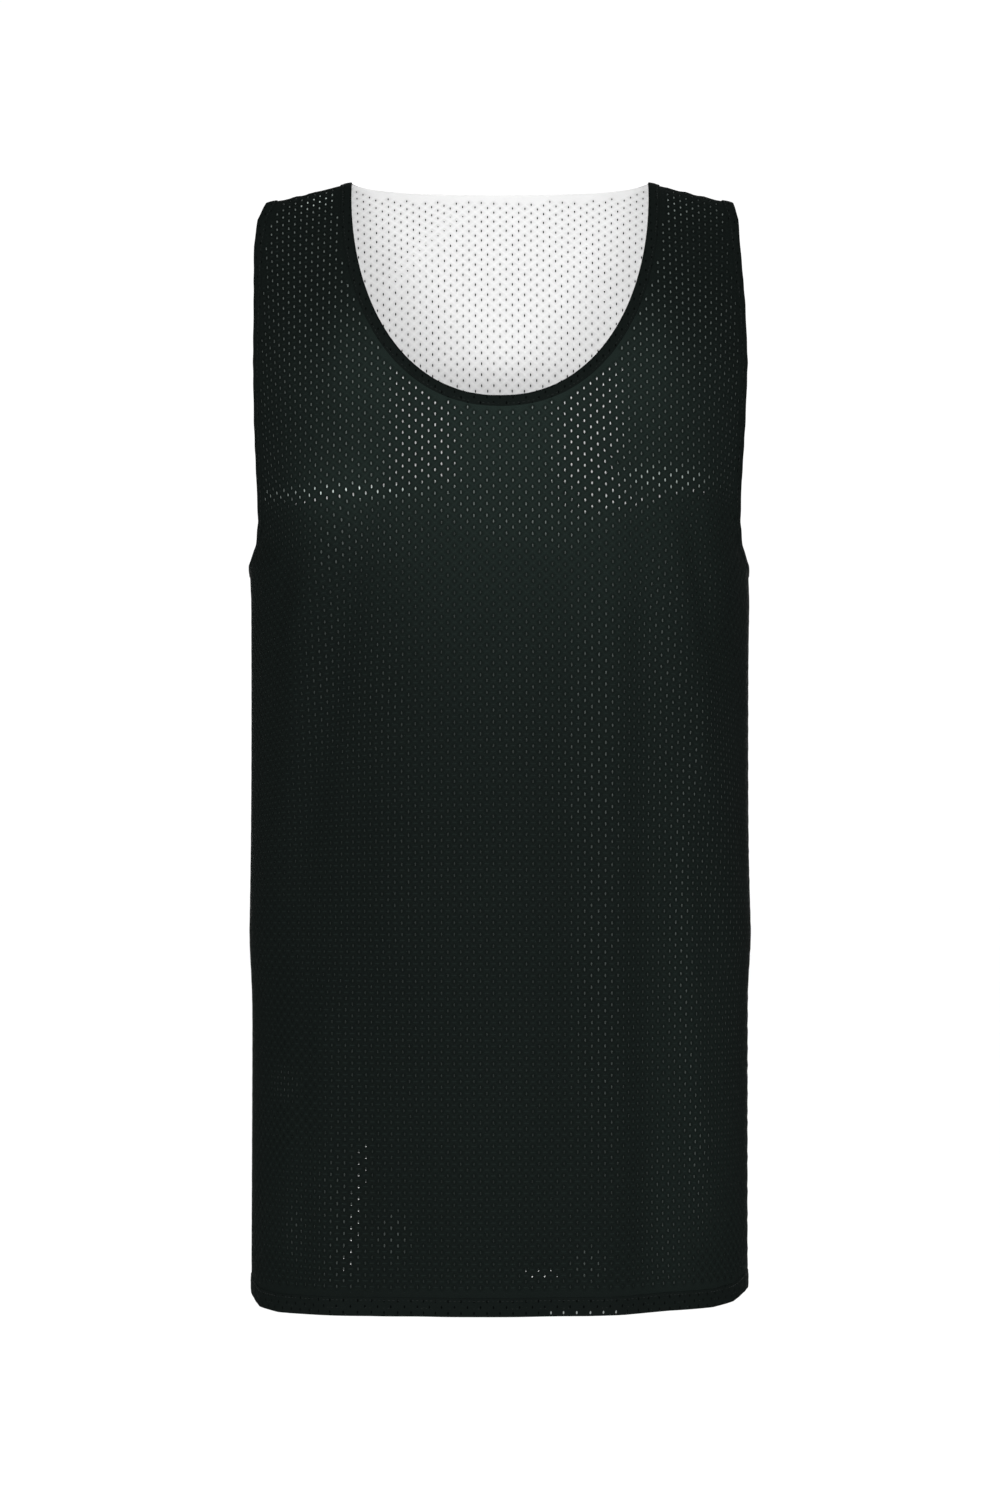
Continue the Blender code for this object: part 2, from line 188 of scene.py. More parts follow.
# The grids of holes. A lining's meets the outer layer's at a half column and a drop, and has its own pitch
# from its lower limit up to a drop, where that fades over a length.
OUTER_GRID = {"pitch": OUTER_PITCH, "hole": (0.00052, 0.00122)}
LINING_GRIDS = {
    "front": {
        "pitch": (0.00912, 0.00750),
        "hole": (0.00072, 0.00104),
        "meets": (-12, 0.185),
        "until": 0.116,
        "fade": 0.024,
    },
    "back": {
        "pitch": (0.00900, 0.00764),
        "hole": (0.00044, 0.00116),
        "meets": (-10, 0.20),
        "until": 0.150,
        "fade": 0.055,
    },
}
SETTLING = 0.024
LINGER = 0.9
DRIFT_SHARES = (-0.5, 1.5)
ROW_STEP = 0.0027
CROSSING_UNTIL = (0.134, 0.150)
# Short lines along which a lining has crept up by a share of half a row, so that its holes show.
CREEPS = {
    # top x, top drop, foot x, foot drop, half width, share
    "front": [
        (-0.0885, 0.64, -0.097, 0.718, 0.007, 0.68),
        (0.017, 0.7228, 0.035, 0.7228, 0.0062, 0.7),
    ],
    "back": [
        (-0.01, 0.028, -0.072, 0.071, 0.01, 0.56),
        (0.066, 0.072, 0.078, 0.1, 0.009, 0.45),
        (0.088, 0.64, 0.093, 0.705, 0.006, 0.66),
    ],
}
SPARE_COLUMNS = 8
HOLE_CORNERS = 8
HOLE_DIP = 0.00016
ROW_DROOP = 0.032
ROW_DROOP_DROPS = (0.55, 0.26)
LEAST_FACING = 0.25
LEAST_STRETCH = 0.25

# ---- seams, turned edges and stitches ----
SEAM_DEPTH = 0.0007
SEAM_HALF_WIDTH = 0.0020
PUCKER_DEPTH = 0.00035
PUCKER_REACH = 0.007
PUCKER_LENGTH = 0.011
PUCKER_BEAT = 0.023
PUCKER_DRIFT = 1.6
BACK_NECK_ROLL = 0.0011
BACK_NECK_ROLL_POWER = 8
BAND_LOW = -0.00025
BAND_HIGH = 0.00105
BAND_BULGE = 0.00025
# A turned edge's section: its lip in half thicknesses, the shares of its width that have a point outside and
# inside, and how far the fold turns.
LIP = [(0.25, 0.0), (0.2, 0.6)]
OUTER_POINTS = (0.02, 0.86, 13)
INNER_POINTS = (0.2, 0.96, 4)
FOLD_TURN = math.radians(78)
FOLD_POINTS = 7
EDGE_WAVE = 0.00010
EDGE_WAVE_LENGTH = 0.0031
EDGE_WAVE_BEAT = 0.0090
STITCH_PITCH = 0.0031
STITCH_LENGTH = 0.0025
STITCH_VALLEY = 0.0007
STITCH_PRESS = 0.00018
STITCH_PUCKER = 0.00008
STITCH_SINK = 1.4
STITCH_TAPER = 0.55
STITCH_SECTIONS = 5
THREAD = 0.00038
THREAD_SIDES = 5
NECK_STITCHES = (NECK_BAND - 0.0014,)
ARMHOLE_STITCHES = (ARMHOLE_BAND - 0.0012,)
HEM_STITCHES = (HEM_BAND - 0.0018, 0.0054)
# Stretches of the hem where the white lining shows in the holes at the fold, painted dim as in shade: facing,
# least x, most x.
HEM_SHOWING = [(-1, 0.026, 0.082), (1, -0.060, -0.012)]
SHOWING_REACH = 0.005

# ---- where the two layers lie together ----
LAYER_LIFT = 0.00075
TOUCHING_GAP = 0.0004
FREE_GAP = 0.0018
SIDE_GAP_SHARE = 0.28
TURNED_AWAY = (0.70, 0.95)
# These tables set the gap between the layers and also the painted light and shade on the lining's side
# against the dark layer.
# The lower limit of the touching stretch over the chest or the shoulder blades, at a place in the front view.
TOUCH_LIMIT = {
    # x, drop
    "front": [
        (-0.16, 0.2075), (-0.04, 0.213), (0.0, 0.228), (0.043, 0.234),
        (0.08, 0.219), (0.108, 0.205), (0.13, 0.201),
    ],
    "back": [
        (-0.16, 0.22), (-0.07, 0.252), (0.0, 0.222), (0.08, 0.262),
        (0.16, 0.23),
    ],
}
TOUCH_FADE = 0.030
# How closely the layers lie together above that limit, and below it.
TOUCH_BY_DROP = [
    # drop, strength
    (0.014, 0.3), (0.026, 0.36), (0.044, 0.21), (0.08, 0.21),
    (0.12, 0.2), (0.15, 0.15), (0.2, 0.14), (0.24, 0.14),
]
APART_BY_DROP = [
    (0.25, 0.022), (0.45, 0.015), (0.6, 0.009), (0.68, 0.003),
]
# Small places where the layers meet again or, with a strength below zero, lie further apart than round them.
TOUCH_PATCHES = {
    # x, drop, half width, half height, strength
    "front": [
        (-0.122, 0.02, 0.018, 0.008, 0.8),
        (0.118, 0.026, 0.024, 0.011, 0.5),
        (-0.1, 0.235, 0.06, 0.03, 0.09),
        (-0.095, 0.33, 0.04, 0.08, 0.04),
        (0.03, 0.34, 0.06, 0.07, 0.04),
        (0.09, 0.36, 0.06, 0.13, 0.08),
        (0.124, 0.262, 0.028, 0.064, 0.075),
        (0.135, 0.5, 0.03, 0.2, 0.12),
        (0.085, 0.5, 0.04, 0.17, 0.06),
        (0.11, 0.68, 0.026, 0.07, 0.07),
        (-0.12, 0.69, 0.03, 0.06, 0.05),
        (-0.103, 0.212, 0.06, 0.005, 0.6),
        (0.108, 0.203, 0.036, 0.009, 0.48),
        (0.072, 0.215, 0.014, 0.005, 0.38),
        (-0.141, 0.598, 0.01, 0.012, 0.1),
        (-0.1345, 0.695, 0.008, 0.022, 0.11),
        (-0.07, 0.695, 0.012, 0.016, 0.07),
        (0.0585, 0.713, 0.012, 0.012, 0.06),
        (0.132, 0.648, 0.012, 0.058, 0.16),
        (0.141, 0.05, 0.024, 0.03, -0.5),
    ],
    "back": [
        (0.1, 0.248, 0.04, 0.006, 0.4),
        (-0.11, 0.236, 0.04, 0.005, 0.5),
        (-0.126, 0.56, 0.012, 0.06, 0.1),
        (-0.03, 0.7, 0.022, 0.012, 0.1),
        (-0.13, 0.38, 0.016, 0.12, 0.08),
    ],
}
# Where the white layer makes the dark one look lighter, together with painted light: the chest and belly
# painted lighter in the middle, as if lit from the front, and darker towards the sides.
VEILS_AND_PAINTED_LIGHT = {
    # x, drop, half width, half height above and below, strength
    "front": [
        (0.004, 0.155, 0.13, 0.052, 0.115, 0.6),
        (0.0, 0.165, 0.04, 0.03, 0.045, 0.12),
        (-0.088, 0.116, 0.022, 0.034, 0.034, 0.24),
        (0.09, 0.116, 0.022, 0.034, 0.034, 0.22),
        (-0.108, 0.208, 0.03, 0.025, 0.025, 0.2),
        (0.03, 0.27, 0.09, 0.05, 0.16, 0.15),
        (0.045, 0.6, 0.11, 0.3, 0.3, 0.08),
        (0.118, 0.56, 0.04, 0.36, 0.3, 0.08),
        (0.128, 0.68, 0.03, 0.2, 0.06, 0.09),
        (-0.135, 0.69, 0.026, 0.09, 0.05, 0.07),
    ],
    "back": [
        (-0.004, 0.12, 0.13, 0.08, 0.11, 0.5),
        (0.1, 0.19, 0.034, 0.025, 0.025, 0.16),
        (-0.03, 0.27, 0.09, 0.05, 0.16, 0.14),
        (-0.04, 0.6, 0.11, 0.3, 0.3, 0.08),
        (-0.115, 0.54, 0.04, 0.34, 0.3, 0.06),
    ],
}

# ---- colours and finishes ----
DEEP_BLACK = (0.0029, 0.0040, 0.0037)
BLACK = (0.0042, 0.0057, 0.0052)
VEILED_AND_LIT_BLACK = (0.0100, 0.0158, 0.0138)
PIT_SHADE_BLACK = (0.0006, 0.0008, 0.0008)
THREAD_BLACK = (0.0080, 0.0105, 0.0098)
WHITE = (0.662, 0.662, 0.662)
BRIGHT_WHITE = (0.70, 0.70, 0.70)
SHADED_SHOWING_WHITE = (0.15, 0.162, 0.158)
# Painted shade and painted light for the lining's side against the dark layer.
SHADED_WHITE = (0.0110, 0.0160, 0.0142)
PAINTED_LIT_WHITE = (0.74, 0.84, 0.80)
# The colours and strengths of a holed cloth's rims, painted shade round the holes, and of its raised threads,
# painted highlights on them, and the threads' half sizes, in steps of the grid, and rise.
OUTER_LOOK = {
    "rim": ((0.0022, 0.0032, 0.0029), 0.62),
    "raised": ((0.0085, 0.0125, 0.0112), 0.4),
    "threads": {"Half Width": 0.42, "Half Height": 0.11},
    "rise": 1.3,
}
LINING_LOOK = {
    "rim": ((0.56, 0.56, 0.56), 0.8),
    "raised": ((0.745, 0.745, 0.745), 0.25),
    "threads": {"Half Width": 0.17, "Half Height": 0.36},
    "rise": 0.6,
}
DARK_GLOSS = (0.85, 0.003)
WHITE_GLOSS = (0.80, 0.20)
THREAD_GLOSS = (0.55, 0.10)
ROUGHNESS_SPREAD = 0.14
KNIT_LOOP = {"Wale": 0.00105, "Course": 0.00096}
LOOP_SWELL = 0.35
MOTTLE_SIZES = {"Large": 9.0, "Small": 160.0}
MOTTLE_MIX = (("Large", 2.0, 0.6), ("Small", 3.0, 0.4))
CLOSED_HOLE = {"Half Width": 0.0005, "Half Height": 0.0010, "Rise": 0.0025}
CLOSED_HOLE_SHADE_STRENGTH = 0.9
CLOSED_HOLE_DEPTH = 2.5
OVAL_EDGE = {"From Min": 1.4, "From Max": 0.5}
MOTTLE_RELIEF = 0.8
BUMP_STRENGTH = 0.6
KNIT_RELIEF = 0.00012
THREAD_RELIEF = 0.00005
THREAD_TWIST = 900.0

# ---- the studio ----
SKY = 1.05
FLOOR_RADIUS = 30.0
FLOOR_HEIGHT = -1.25
FLOOR_SEGMENTS = 96
FLOOR_COLOUR = (0.97, 0.97, 0.97, 1)
FLOOR_ROUGHNESS = 0.9
SOFTBOXES = [
    # name, place, width, height, watts
    ("key_softbox", (-0.6, -2.6, 1.7), 2.0, 2.0, 30),
    ("low_softbox", (-0.05, -3.3, -0.40), 1.8, 0.5, 80),
    ("rear_softbox", (0.9, 2.6, 1.5), 2.0, 2.0, 60),
    ("low_rear_softbox", (0.05, 3.3, -0.40), 1.8, 0.5, 80),
]
SENSOR = 36.0
CAMERA_DISTANCE = 4.0
CAMERA_HEIGHT = -0.3716
VIEW_HEIGHT = 1.005

# ---- how finely everything is drawn ----
RING_STEPS = 600
RIDGE_ROWS = 80
RIDGE_STRETCH = 0.060
GRID = 0.0012
GRID_END = 1.001
MARGIN = 0.030
HALF_CLOTH = 0.300
HEM_POINTS = 161
ARMHOLE_POINTS = 81
SEAM_POINTS = 141
STRAP_POINTS = 31
EDGE_POINTS = 401
OUTLINE_STEP = 0.0035
MERGED = 1e-5
MILLIMETRES = 1000
STATION = 0.0009
BAND_ROWS = 8
SHEET_SHARE = 0.98


# ---- lines and tables ----
def table(rows, column, at):
    rows = np.array(rows)
    return np.interp(at, rows[:, 0], rows[:, column])


def smooth(value, start, end):
    """0 at start, 1 at end, eased between them."""
    share = np.clip((value - start) / (end - start), 0, 1)
    return share * share * (3 - 2 * share)


def unit(vectors):
    return vectors / np.linalg.norm(vectors, axis=-1, keepdims=True)


def run_of(points):
    """How far along a line each of its points lies."""
    steps = np.linalg.norm(np.diff(points, axis=0), axis=-1)
    return np.concatenate([np.zeros_like(steps[:1]), np.cumsum(steps, axis=0)])


def along_line(at, along, points):
    """A line's points read at distances along it."""
    return np.stack([np.interp(at, along, column) for column in points.T], axis=1)


def evenly(points, extra, step):
    """A closed line cut again into even steps, with the value of extra that holds there."""
    closed = np.concatenate([points, points[:1]])
    along = run_of(closed)
    at = np.linspace(0, along[-1], int(round(along[-1] / step)), endpoint=False)
    before = np.clip(np.searchsorted(along, at, side="right") - 1, 0, len(extra) - 1)
    return along_line(at, along, closed), extra[before]


def edges_of(line):
    """The starts and the ends of a closed line's edges."""
    return line, np.roll(line, -1, axis=0)


def is_inside(points, starts, ends):
    """Whether each point lies inside an odd number of the closed lines that these edges make."""
    inside = np.zeros(len(points), bool)
    for (x0, y0), (x1, y1) in zip(starts, ends):
        crosses = (points[:, 1] < y0) != (points[:, 1] < y1)
        if y0 != y1:
            x = x0 + (points[crosses, 1] - y0) * (x1 - x0) / (y1 - y0)
            inside[crosses] ^= points[crosses, 0] < x
    return inside


def nearest_on(points, line):
    """The distance from each point to a dense line of points, and the index of the nearest one."""
    tree = KDTree(len(line))
    for i, place in enumerate(line):
        tree.insert((*place, 0), i)
    tree.balance()
    found = [tree.find((*place, 0)) for place in points]
    return np.array([hit[2] for hit in found]), np.array([hit[1] for hit in found])


# ---- the surface ----
def ridge_drop(x):
    """How far the shoulder line lies below the neck point, at this distance from the middle."""
    rounded = np.sqrt(np.square(x) + SHOULDER_ROUNDING**2)
    return SHOULDER_SLOPE * (rounded - math.hypot(NECK_HALF_WIDTH, SHOULDER_ROUNDING))


TIP_DROP = float(ridge_drop(SHOULDER_TIP_X))


def scoop(drop, inset):
    """0 at the bottom of the armhole's curve and below, 1 where its edge runs straight up."""
    turn = np.clip((UNDERARM_DROP + inset - drop) / (ARMHOLE_SCOOP_HEIGHT + inset), 0, 1)
    return np.sqrt(1 - (1 - turn) ** 2)


class Side:
    """The front or the back, as a fine grid of places on its surface."""

    def __init__(self, name):
        self.name = name
        vars(self).update(SIDES[name])
        near_ridge = RIDGE_STRETCH * np.linspace(0, 1, RIDGE_ROWS + 1) ** 2
        below = np.arange(RIDGE_STRETCH + GRID, GARMENT_LENGTH + MARGIN - TIP_DROP, GRID)
        past = near_ridge[1 : RIDGE_ROWS // 2]
        self.drops = TIP_DROP + np.concatenate([-past[::-1], near_ridge, below])
        self.s = np.arange(-HALF_CLOTH, HALF_CLOTH + GRID / 2, GRID)
        rings = [self.ring(TIP_DROP + abs(drop - TIP_DROP)) for drop in self.drops]
        self.lengths = {hand: np.array([ring[1][hand] for ring in rings]).T for hand in (-1, 1)}
        points = np.array([ring[0] for ring in rings])
        points[self.drops < TIP_DROP, :, 1] *= -1
        self.plain_x = points[:, :, 0].copy()
        self.point = self.folded(points)
        right, down = np.gradient(self.point, axis=(1, 0))
        self.normal = unit(np.cross(right, -down) * -self.facing)
        run = run_of(self.point)
        hem = np.array([np.interp(GARMENT_LENGTH, self.drops, column) for column in run.T])
        self.height = hem - run
        self.lay_flat()

    def ring(self, drop):
        """One level ring read at the grid's s, with the length and the armhole's cut of each half."""
        lift = self.rise(drop)
        depth = table(RINGS, self.depth, drop) * (1 - lift**self.profile) ** (1 / self.profile)
        angle = np.linspace(0, math.pi / 2, RING_STEPS + 1)
        points = np.zeros((len(self.s), 3))
        lengths = {}
        for hand, width_column, square_column in zip((-1, 1), (1, 2), self.square):
            power = table(RINGS, square_column, drop)
            edge = self.reach * scoop(drop, 0)
            half_width = (table(WIDTHS, width_column, drop) - OUTSIDE) / (1 - edge**power) ** (1 / power)
            x = hand * half_width * np.sin(angle) ** (2 / power)
            y = self.facing * depth * np.maximum(np.cos(angle), 0) ** (2 / power)
            z = NECK_POINT_HEIGHT - max(drop, self.deepest) + lift * (self.deepest - ridge_drop(x))
            line = np.stack([x, y, z], axis=1)
            along = run_of(line)
            uncut = np.interp(math.acos(self.reach ** (power / 2)), angle, along)
            lengths[hand] = (along[-1], along[-1] - uncut)
            here = self.s * hand >= 0
            distance = np.abs(self.s[here])
            past = distance > along[-1]
            distance = np.where(past, 2 * along[-1] - distance, distance)
            points[here] = along_line(distance, along, line)
            points[here, 1] *= np.where(past, -1, 1)
        return points, lengths

    def rise(self, drop):
        """0 at and below the deepest ring, 1 on the shoulder line."""
        return np.clip((self.deepest - drop) / (self.deepest - TIP_DROP), 0, 1)

    def folded(self, points):
        """The rings with the folds carried outwards, none at the side seams, where front and back meet."""
        x = points[:, :, 0]
        drop = np.abs(self.drops - TIP_DROP)[:, None] + TIP_DROP
        total = np.zeros_like(x)
        for top_x, top_drop, foot_x, foot_drop, half_width, height in self.folds:
            length = foot_drop - top_drop
            share = (drop - top_drop) / length
            middle = top_x + (foot_x - top_x) * np.clip(share, 0, 1)
            past = np.maximum(np.maximum(-share, share - 1), 0) * length
            across = np.exp(-(((x - middle) / half_width) ** 2))
            total += height * across * np.exp(-((past / half_width / 2) ** 2))
        total *= smooth(np.abs(points[:, :, 1]), 0, SEAM_FLAT) * (1 - self.rise(drop))
        swell = 1 + total / np.maximum(np.hypot(x, points[:, :, 1]), SHOULDER_ROUNDING)
        return points * np.stack([swell, swell, np.ones_like(swell)], axis=2)

    def lay_flat(self):
        """The same places in a grid of the flat cloth."""
        self.t = np.arange(self.height.min(), self.height.max(), GRID)
        drops = np.broadcast_to(self.drops[:, None, None], self.height.shape + (1,))
        facts = np.concatenate([self.point, self.normal, drops], axis=2)[::-1]
        up = self.height[::-1]
        self.flat = np.array([along_line(self.t, up[:, j], facts[:, j]) for j in range(len(self.s))])

    def between(self, grid, row, column):
        """Values of a grid between its rows and columns, up to just before its end."""
        row = np.clip(row, 0, grid.shape[0] - GRID_END)
        column = np.clip(column, 0, grid.shape[1] - GRID_END)
        i = row.astype(int)
        j = column.astype(int)
        u = (row - i).reshape(row.shape + (1,) * (grid.ndim - 2))
        v = (column - j).reshape(u.shape)
        upper = grid[i, j] * (1 - v) + grid[i, j + 1] * v
        lower = grid[i + 1, j] * (1 - v) + grid[i + 1, j + 1] * v
        return upper * (1 - u) + lower * u

    def read(self, grid, drop, s):
        rows = np.interp(drop, self.drops, np.arange(len(self.drops)))
        return self.between(grid, rows, (np.asarray(s) - self.s[0]) / GRID)

    def flat_place(self, drop, s):
        """A place (drop, s) as (s, t) in the flat cloth."""
        return np.stack([s, self.read(self.height, drop, s)], axis=-1)

    def spot(self, places):
        """Points, normals and drops of places (s, t) in the flat cloth."""
        facts = self.between(self.flat, *((places - (self.s[0], self.t[0])) / GRID).T)
        return facts[:, :3], unit(facts[:, 3:6]), facts[:, 6]

    def seam(self, drop, hand):
        return np.interp(drop, self.drops, self.lengths[hand][0])

    def edge(self, drop, hand, inset):
        """The distance s of the side seam, or of a line that far inside the armhole's edge."""
        cut = np.interp(drop, self.drops, self.lengths[hand][1])
        return hand * (self.seam(drop, hand) - (cut + inset) * scoop(drop, inset))

    def on_ring(self, drop, x):
        """The distance s on a ring at a place in the front view."""
        row = np.interp(drop, self.drops, np.arange(len(self.drops)))
        i = int(row)
        line = self.plain_x[i] + (self.plain_x[i + 1] - self.plain_x[i]) * (row - i)
        inside = (self.s > -self.seam(drop, -1)) & (self.s < self.seam(drop, 1))
        return np.interp(x, line[inside], self.s[inside])


# ---- the cut, as lines of places (drop, s) ----
def neck_line(side, inset, shares):
    """The neck edge, or a line that far outside it, from -1 on the left to 1 on the right."""
    half_width = NECK_HALF_WIDTH + inset
    shoulder = ridge_drop(half_width)
    turn = np.sin(shares * math.pi / 2) * math.pi / 2
    if side.name == "front":
        x = half_width * np.sign(turn) * np.abs(np.sin(turn)) ** (2 / FRONT_NECK_POWER)
        fall = (FRONT_NECK_DROP + inset - shoulder) * np.abs(np.cos(turn)) ** (2 / FRONT_NECK_POWER)
    else:
        x = half_width * np.sin(turn)
        fall = (BACK_NECK_DROP + inset) * (1 - np.abs(x / half_width) ** BACK_NECK_POWER)
    lift = np.minimum((side.deepest - shoulder - fall) / (side.deepest - ridge_drop(x)), 1)
    drops = side.deepest - lift * (side.deepest - TIP_DROP)
    return np.stack([drops, [side.on_ring(*place) for place in zip(drops, x)]], axis=1)


def rolled_neck_line(side, inset, shares):
    """The same for the turned edge, which lies lower across the back."""
    if side.name == "back":
        inset = inset + BACK_NECK_ROLL * (1 - np.abs(shares) ** BACK_NECK_ROLL_POWER)
    return neck_line(side, inset, shares)


def armhole_line(hand, side, inset, shares):
    """The armhole edge, or a line that far inside it, from the side seam, 0, to the shoulder line, 1."""
    turn = np.clip(2 * shares, 0, 1) * math.pi / 2
    climb = np.clip(2 * shares - 1, 0, 1) * math.pi / 2
    drops = UNDERARM_DROP + inset - (ARMHOLE_SCOOP_HEIGHT + inset) * (1 - np.cos(turn))
    drops = drops - (UNDERARM_DROP - ARMHOLE_SCOOP_HEIGHT - TIP_DROP) * np.sin(climb)
    return np.stack([drops, side.edge(drops, hand, inset)], axis=1)


def hem_line(side, inset, shares):
    """The hem's edge, or a line that far above it, from -1 on the left to 1 on the right."""
    s = shares * np.where(shares < 0, side.seam(GARMENT_LENGTH, -1), side.seam(GARMENT_LENGTH, 1))
    x = side.read(side.plain_x, np.full(len(s), GARMENT_LENGTH), s)
    return np.stack([GARMENT_LENGTH - inset - table(HEM_RISE, 1, x), s], axis=1)


def outline(side, neck, armhole, hem):
    """A panel's cut in the flat cloth, counterclockwise, and which of its points lie on a seam."""
    shares = np.linspace(-1, 1, HEM_POINTS)
    neck_edge = neck_line(side, neck, shares)
    hem_edge = hem_line(side, hem, shares)
    rising = {}
    for hand, end in ((1, -1), (-1, 0)):
        arm_edge = armhole_line(hand, side, armhole, np.linspace(0, 1, ARMHOLE_POINTS))
        drops = np.linspace(hem_edge[end, 0], UNDERARM_DROP + armhole, SEAM_POINTS)
        seam = np.stack([drops, hand * side.seam(drops, hand)], axis=1)
        strap = np.linspace((TIP_DROP, arm_edge[-1, 1]), (TIP_DROP, neck_edge[end, 1]), STRAP_POINTS)
        rising[hand] = [(seam, True), (arm_edge, False), (strap, True)]
    falling = [(line[::-1], kind) for line, kind in rising[-1][::-1]]
    parts = [(hem_edge, False), *rising[1], (neck_edge[::-1], False), *falling]
    places = np.concatenate([line[:-1] for line, kind in parts])
    on_seam = np.concatenate([np.full(len(line) - 1, kind) for line, kind in parts])
    return side.flat_place(*places.T), on_seam


def pulled_in(line, on_seam, distance):
    """A closed line whose stretches along a seam are moved in by a distance."""
    ahead = np.roll(line, -1, axis=0) - np.roll(line, 1, axis=0)
    inward = unit(np.stack([-ahead[:, 1], ahead[:, 0]], axis=1))
    return line + inward * distance * on_seam[:, None]


# ---- how the two layers lie ----
def touching(side, x, drop):
    """How closely the two layers lie together at a place in the front view, from 0, apart, to 1, and so how
    much painted light the lining's hidden side gets.
    """
    limit = table(TOUCH_LIMIT[side.name], 1, x)
    chest = (1 - smooth(drop, limit, limit + TOUCH_FADE)) * table(TOUCH_BY_DROP, 1, drop)
    total = np.maximum(chest, table(APART_BY_DROP, 1, drop))
    for patch_x, patch_drop, half_width, half_height, strength in TOUCH_PATCHES[side.name]:
        away = ((x - patch_x) / half_width) ** 2 + ((drop - patch_drop) / half_height) ** 2
        near = np.exp(-(away**2))
        total = np.maximum(total, strength * near) * (1 + min(strength, 0) * near)
    return total


def layer_gap(side, points, normals, drops):
    """How far apart the two layers lie, less where the cloth turns away to the sides."""
    gap = FREE_GAP + (TOUCHING_GAP - FREE_GAP) * touching(side, points[:, 0], drops)
    return gap * (1 - (1 - SIDE_GAP_SHARE) * smooth(np.abs(normals[:, 0]), *TURNED_AWAY))


def veil_and_painted_light(side, x, drop):
    """How much the white layer lightens the dark one at a place in the front view, with painted light:
    lighter in the middle, darker towards the sides.
    """
    total = np.zeros_like(x)
    for veil_x, veil_drop, half_width, half_up, half_down, strength in VEILS_AND_PAINTED_LIGHT[side.name]:
        half_height = np.where(drop < veil_drop, half_up, half_down)
        away = ((x - veil_x) / half_width) ** 4 + ((drop - veil_drop) / half_height) ** 2
        total += strength * np.exp(-away)
    return total


# ---- mesh cloth ----
def laid_out(side, layout, i, j):
    """Where the points of the knitting machine's grid lie in the flat cloth."""
    s = i * OUTER_PITCH[0] / 2
    t = j * OUTER_PITCH[1] / 2
    if "meets" not in layout:
        return np.stack([s, t - row_droop(side, s, t)], axis=2)
    column, drop = layout["meets"]
    height = side.read(side.height, np.array([drop]), np.array([column * OUTER_PITCH[0] / 2]))[0]
    places = settled(side, layout, s, t, i - column, j - 2 * round(float(height) / OUTER_PITCH[1]))
    return places + slipped(side, places)


def settled(side, layout, s, t, columns, rows):
    """The grid of a lining as it looks from straight ahead. Over the chest it drifts against the outer grid
    and lingers where the holes meet. Elsewhere its holes fall between the outer ones, and its rows step aside
    where its columns cross over."""
    limit = side.read(side.height, table(TOUCH_LIMIT[side.name], 1, s), s)
    strap = side.read(side.height, np.full(s.shape, layout["until"]), s)
    free = smooth(t, limit + SETTLING / 2, limit - SETTLING / 2) + smooth(t, strap - layout["fade"], strap)
    share = np.clip(columns * (layout["pitch"][0] / OUTER_PITCH[0] - 1) / 2, *DRIFT_SHARES)
    drift = (share - LINGER * np.sin(2 * math.pi * share) / (2 * math.pi)) * OUTER_PITCH[0]
    s = s + drift * (1 - free) + OUTER_PITCH[0] / 2 * free
    t = t + rows * (layout["pitch"][1] - OUTER_PITCH[1]) / 2 * (1 - free)
    step = np.where(rows > 0, -1, smooth(np.abs(s), *CROSSING_UNTIL))
    t = t + ROW_STEP * step * 4 * free * (1 - free)
    t = t - row_droop(side, s, t)
    return np.stack([s, t + crept_up(side, s, t)], axis=2)


def crept_up(side, s, t):
    """How far a lining's rows have crept up, most along some short lines."""
    up = np.zeros(s.shape)
    for top_x, top_drop, foot_x, foot_drop, half_width, share in CREEPS[side.name]:
        ends = [(top_drop, side.on_ring(top_drop, top_x)), (foot_drop, side.on_ring(foot_drop, foot_x))]
        start, end = side.flat_place(*np.array(ends).T)
        across, along = end - start
        part = ((s - start[0]) * across + (t - start[1]) * along) / (across**2 + along**2)
        part = np.clip(part, 0, 1)
        away = np.hypot(s - start[0] - part * across, t - start[1] - part * along)
        up += share * OUTER_PITCH[1] / 2 * np.exp(-((away / half_width) ** 2))
    return up


def slipped(side, places):
    """How far a sight line from straight ahead slips along the cloth between the two layers."""
    flat = places.reshape(-1, 2)
    points, normals, drops = side.spot(flat)
    sight = unit(points - (0, side.facing * CAMERA_DISTANCE, CAMERA_HEIGHT))
    facing = np.maximum(-(sight * normals).sum(axis=1, keepdims=True), LEAST_FACING)
    slip = (sight / facing + normals) * layer_gap(side, points, normals, drops)[:, None]
    moves = []
    for step in np.array([(GRID, 0), (0, GRID)]):
        along = (side.spot(flat + step)[0] - side.spot(flat - step)[0]) / (2 * GRID)
        moves.append((slip * along).sum(axis=1) / np.maximum((along * along).sum(axis=1), LEAST_STRETCH))
    return np.stack(moves, axis=1).reshape(places.shape)


def row_droop(side, s, t):
    """How far the rows of holes hang down towards the sides."""
    deep, shallow = side.read(side.height, np.array(ROW_DROOP_DROPS), np.zeros(2))
    return ROW_DROOP * smooth(t, deep, shallow) * (s / side.seam(CHEST_DROP, 1)) ** 2


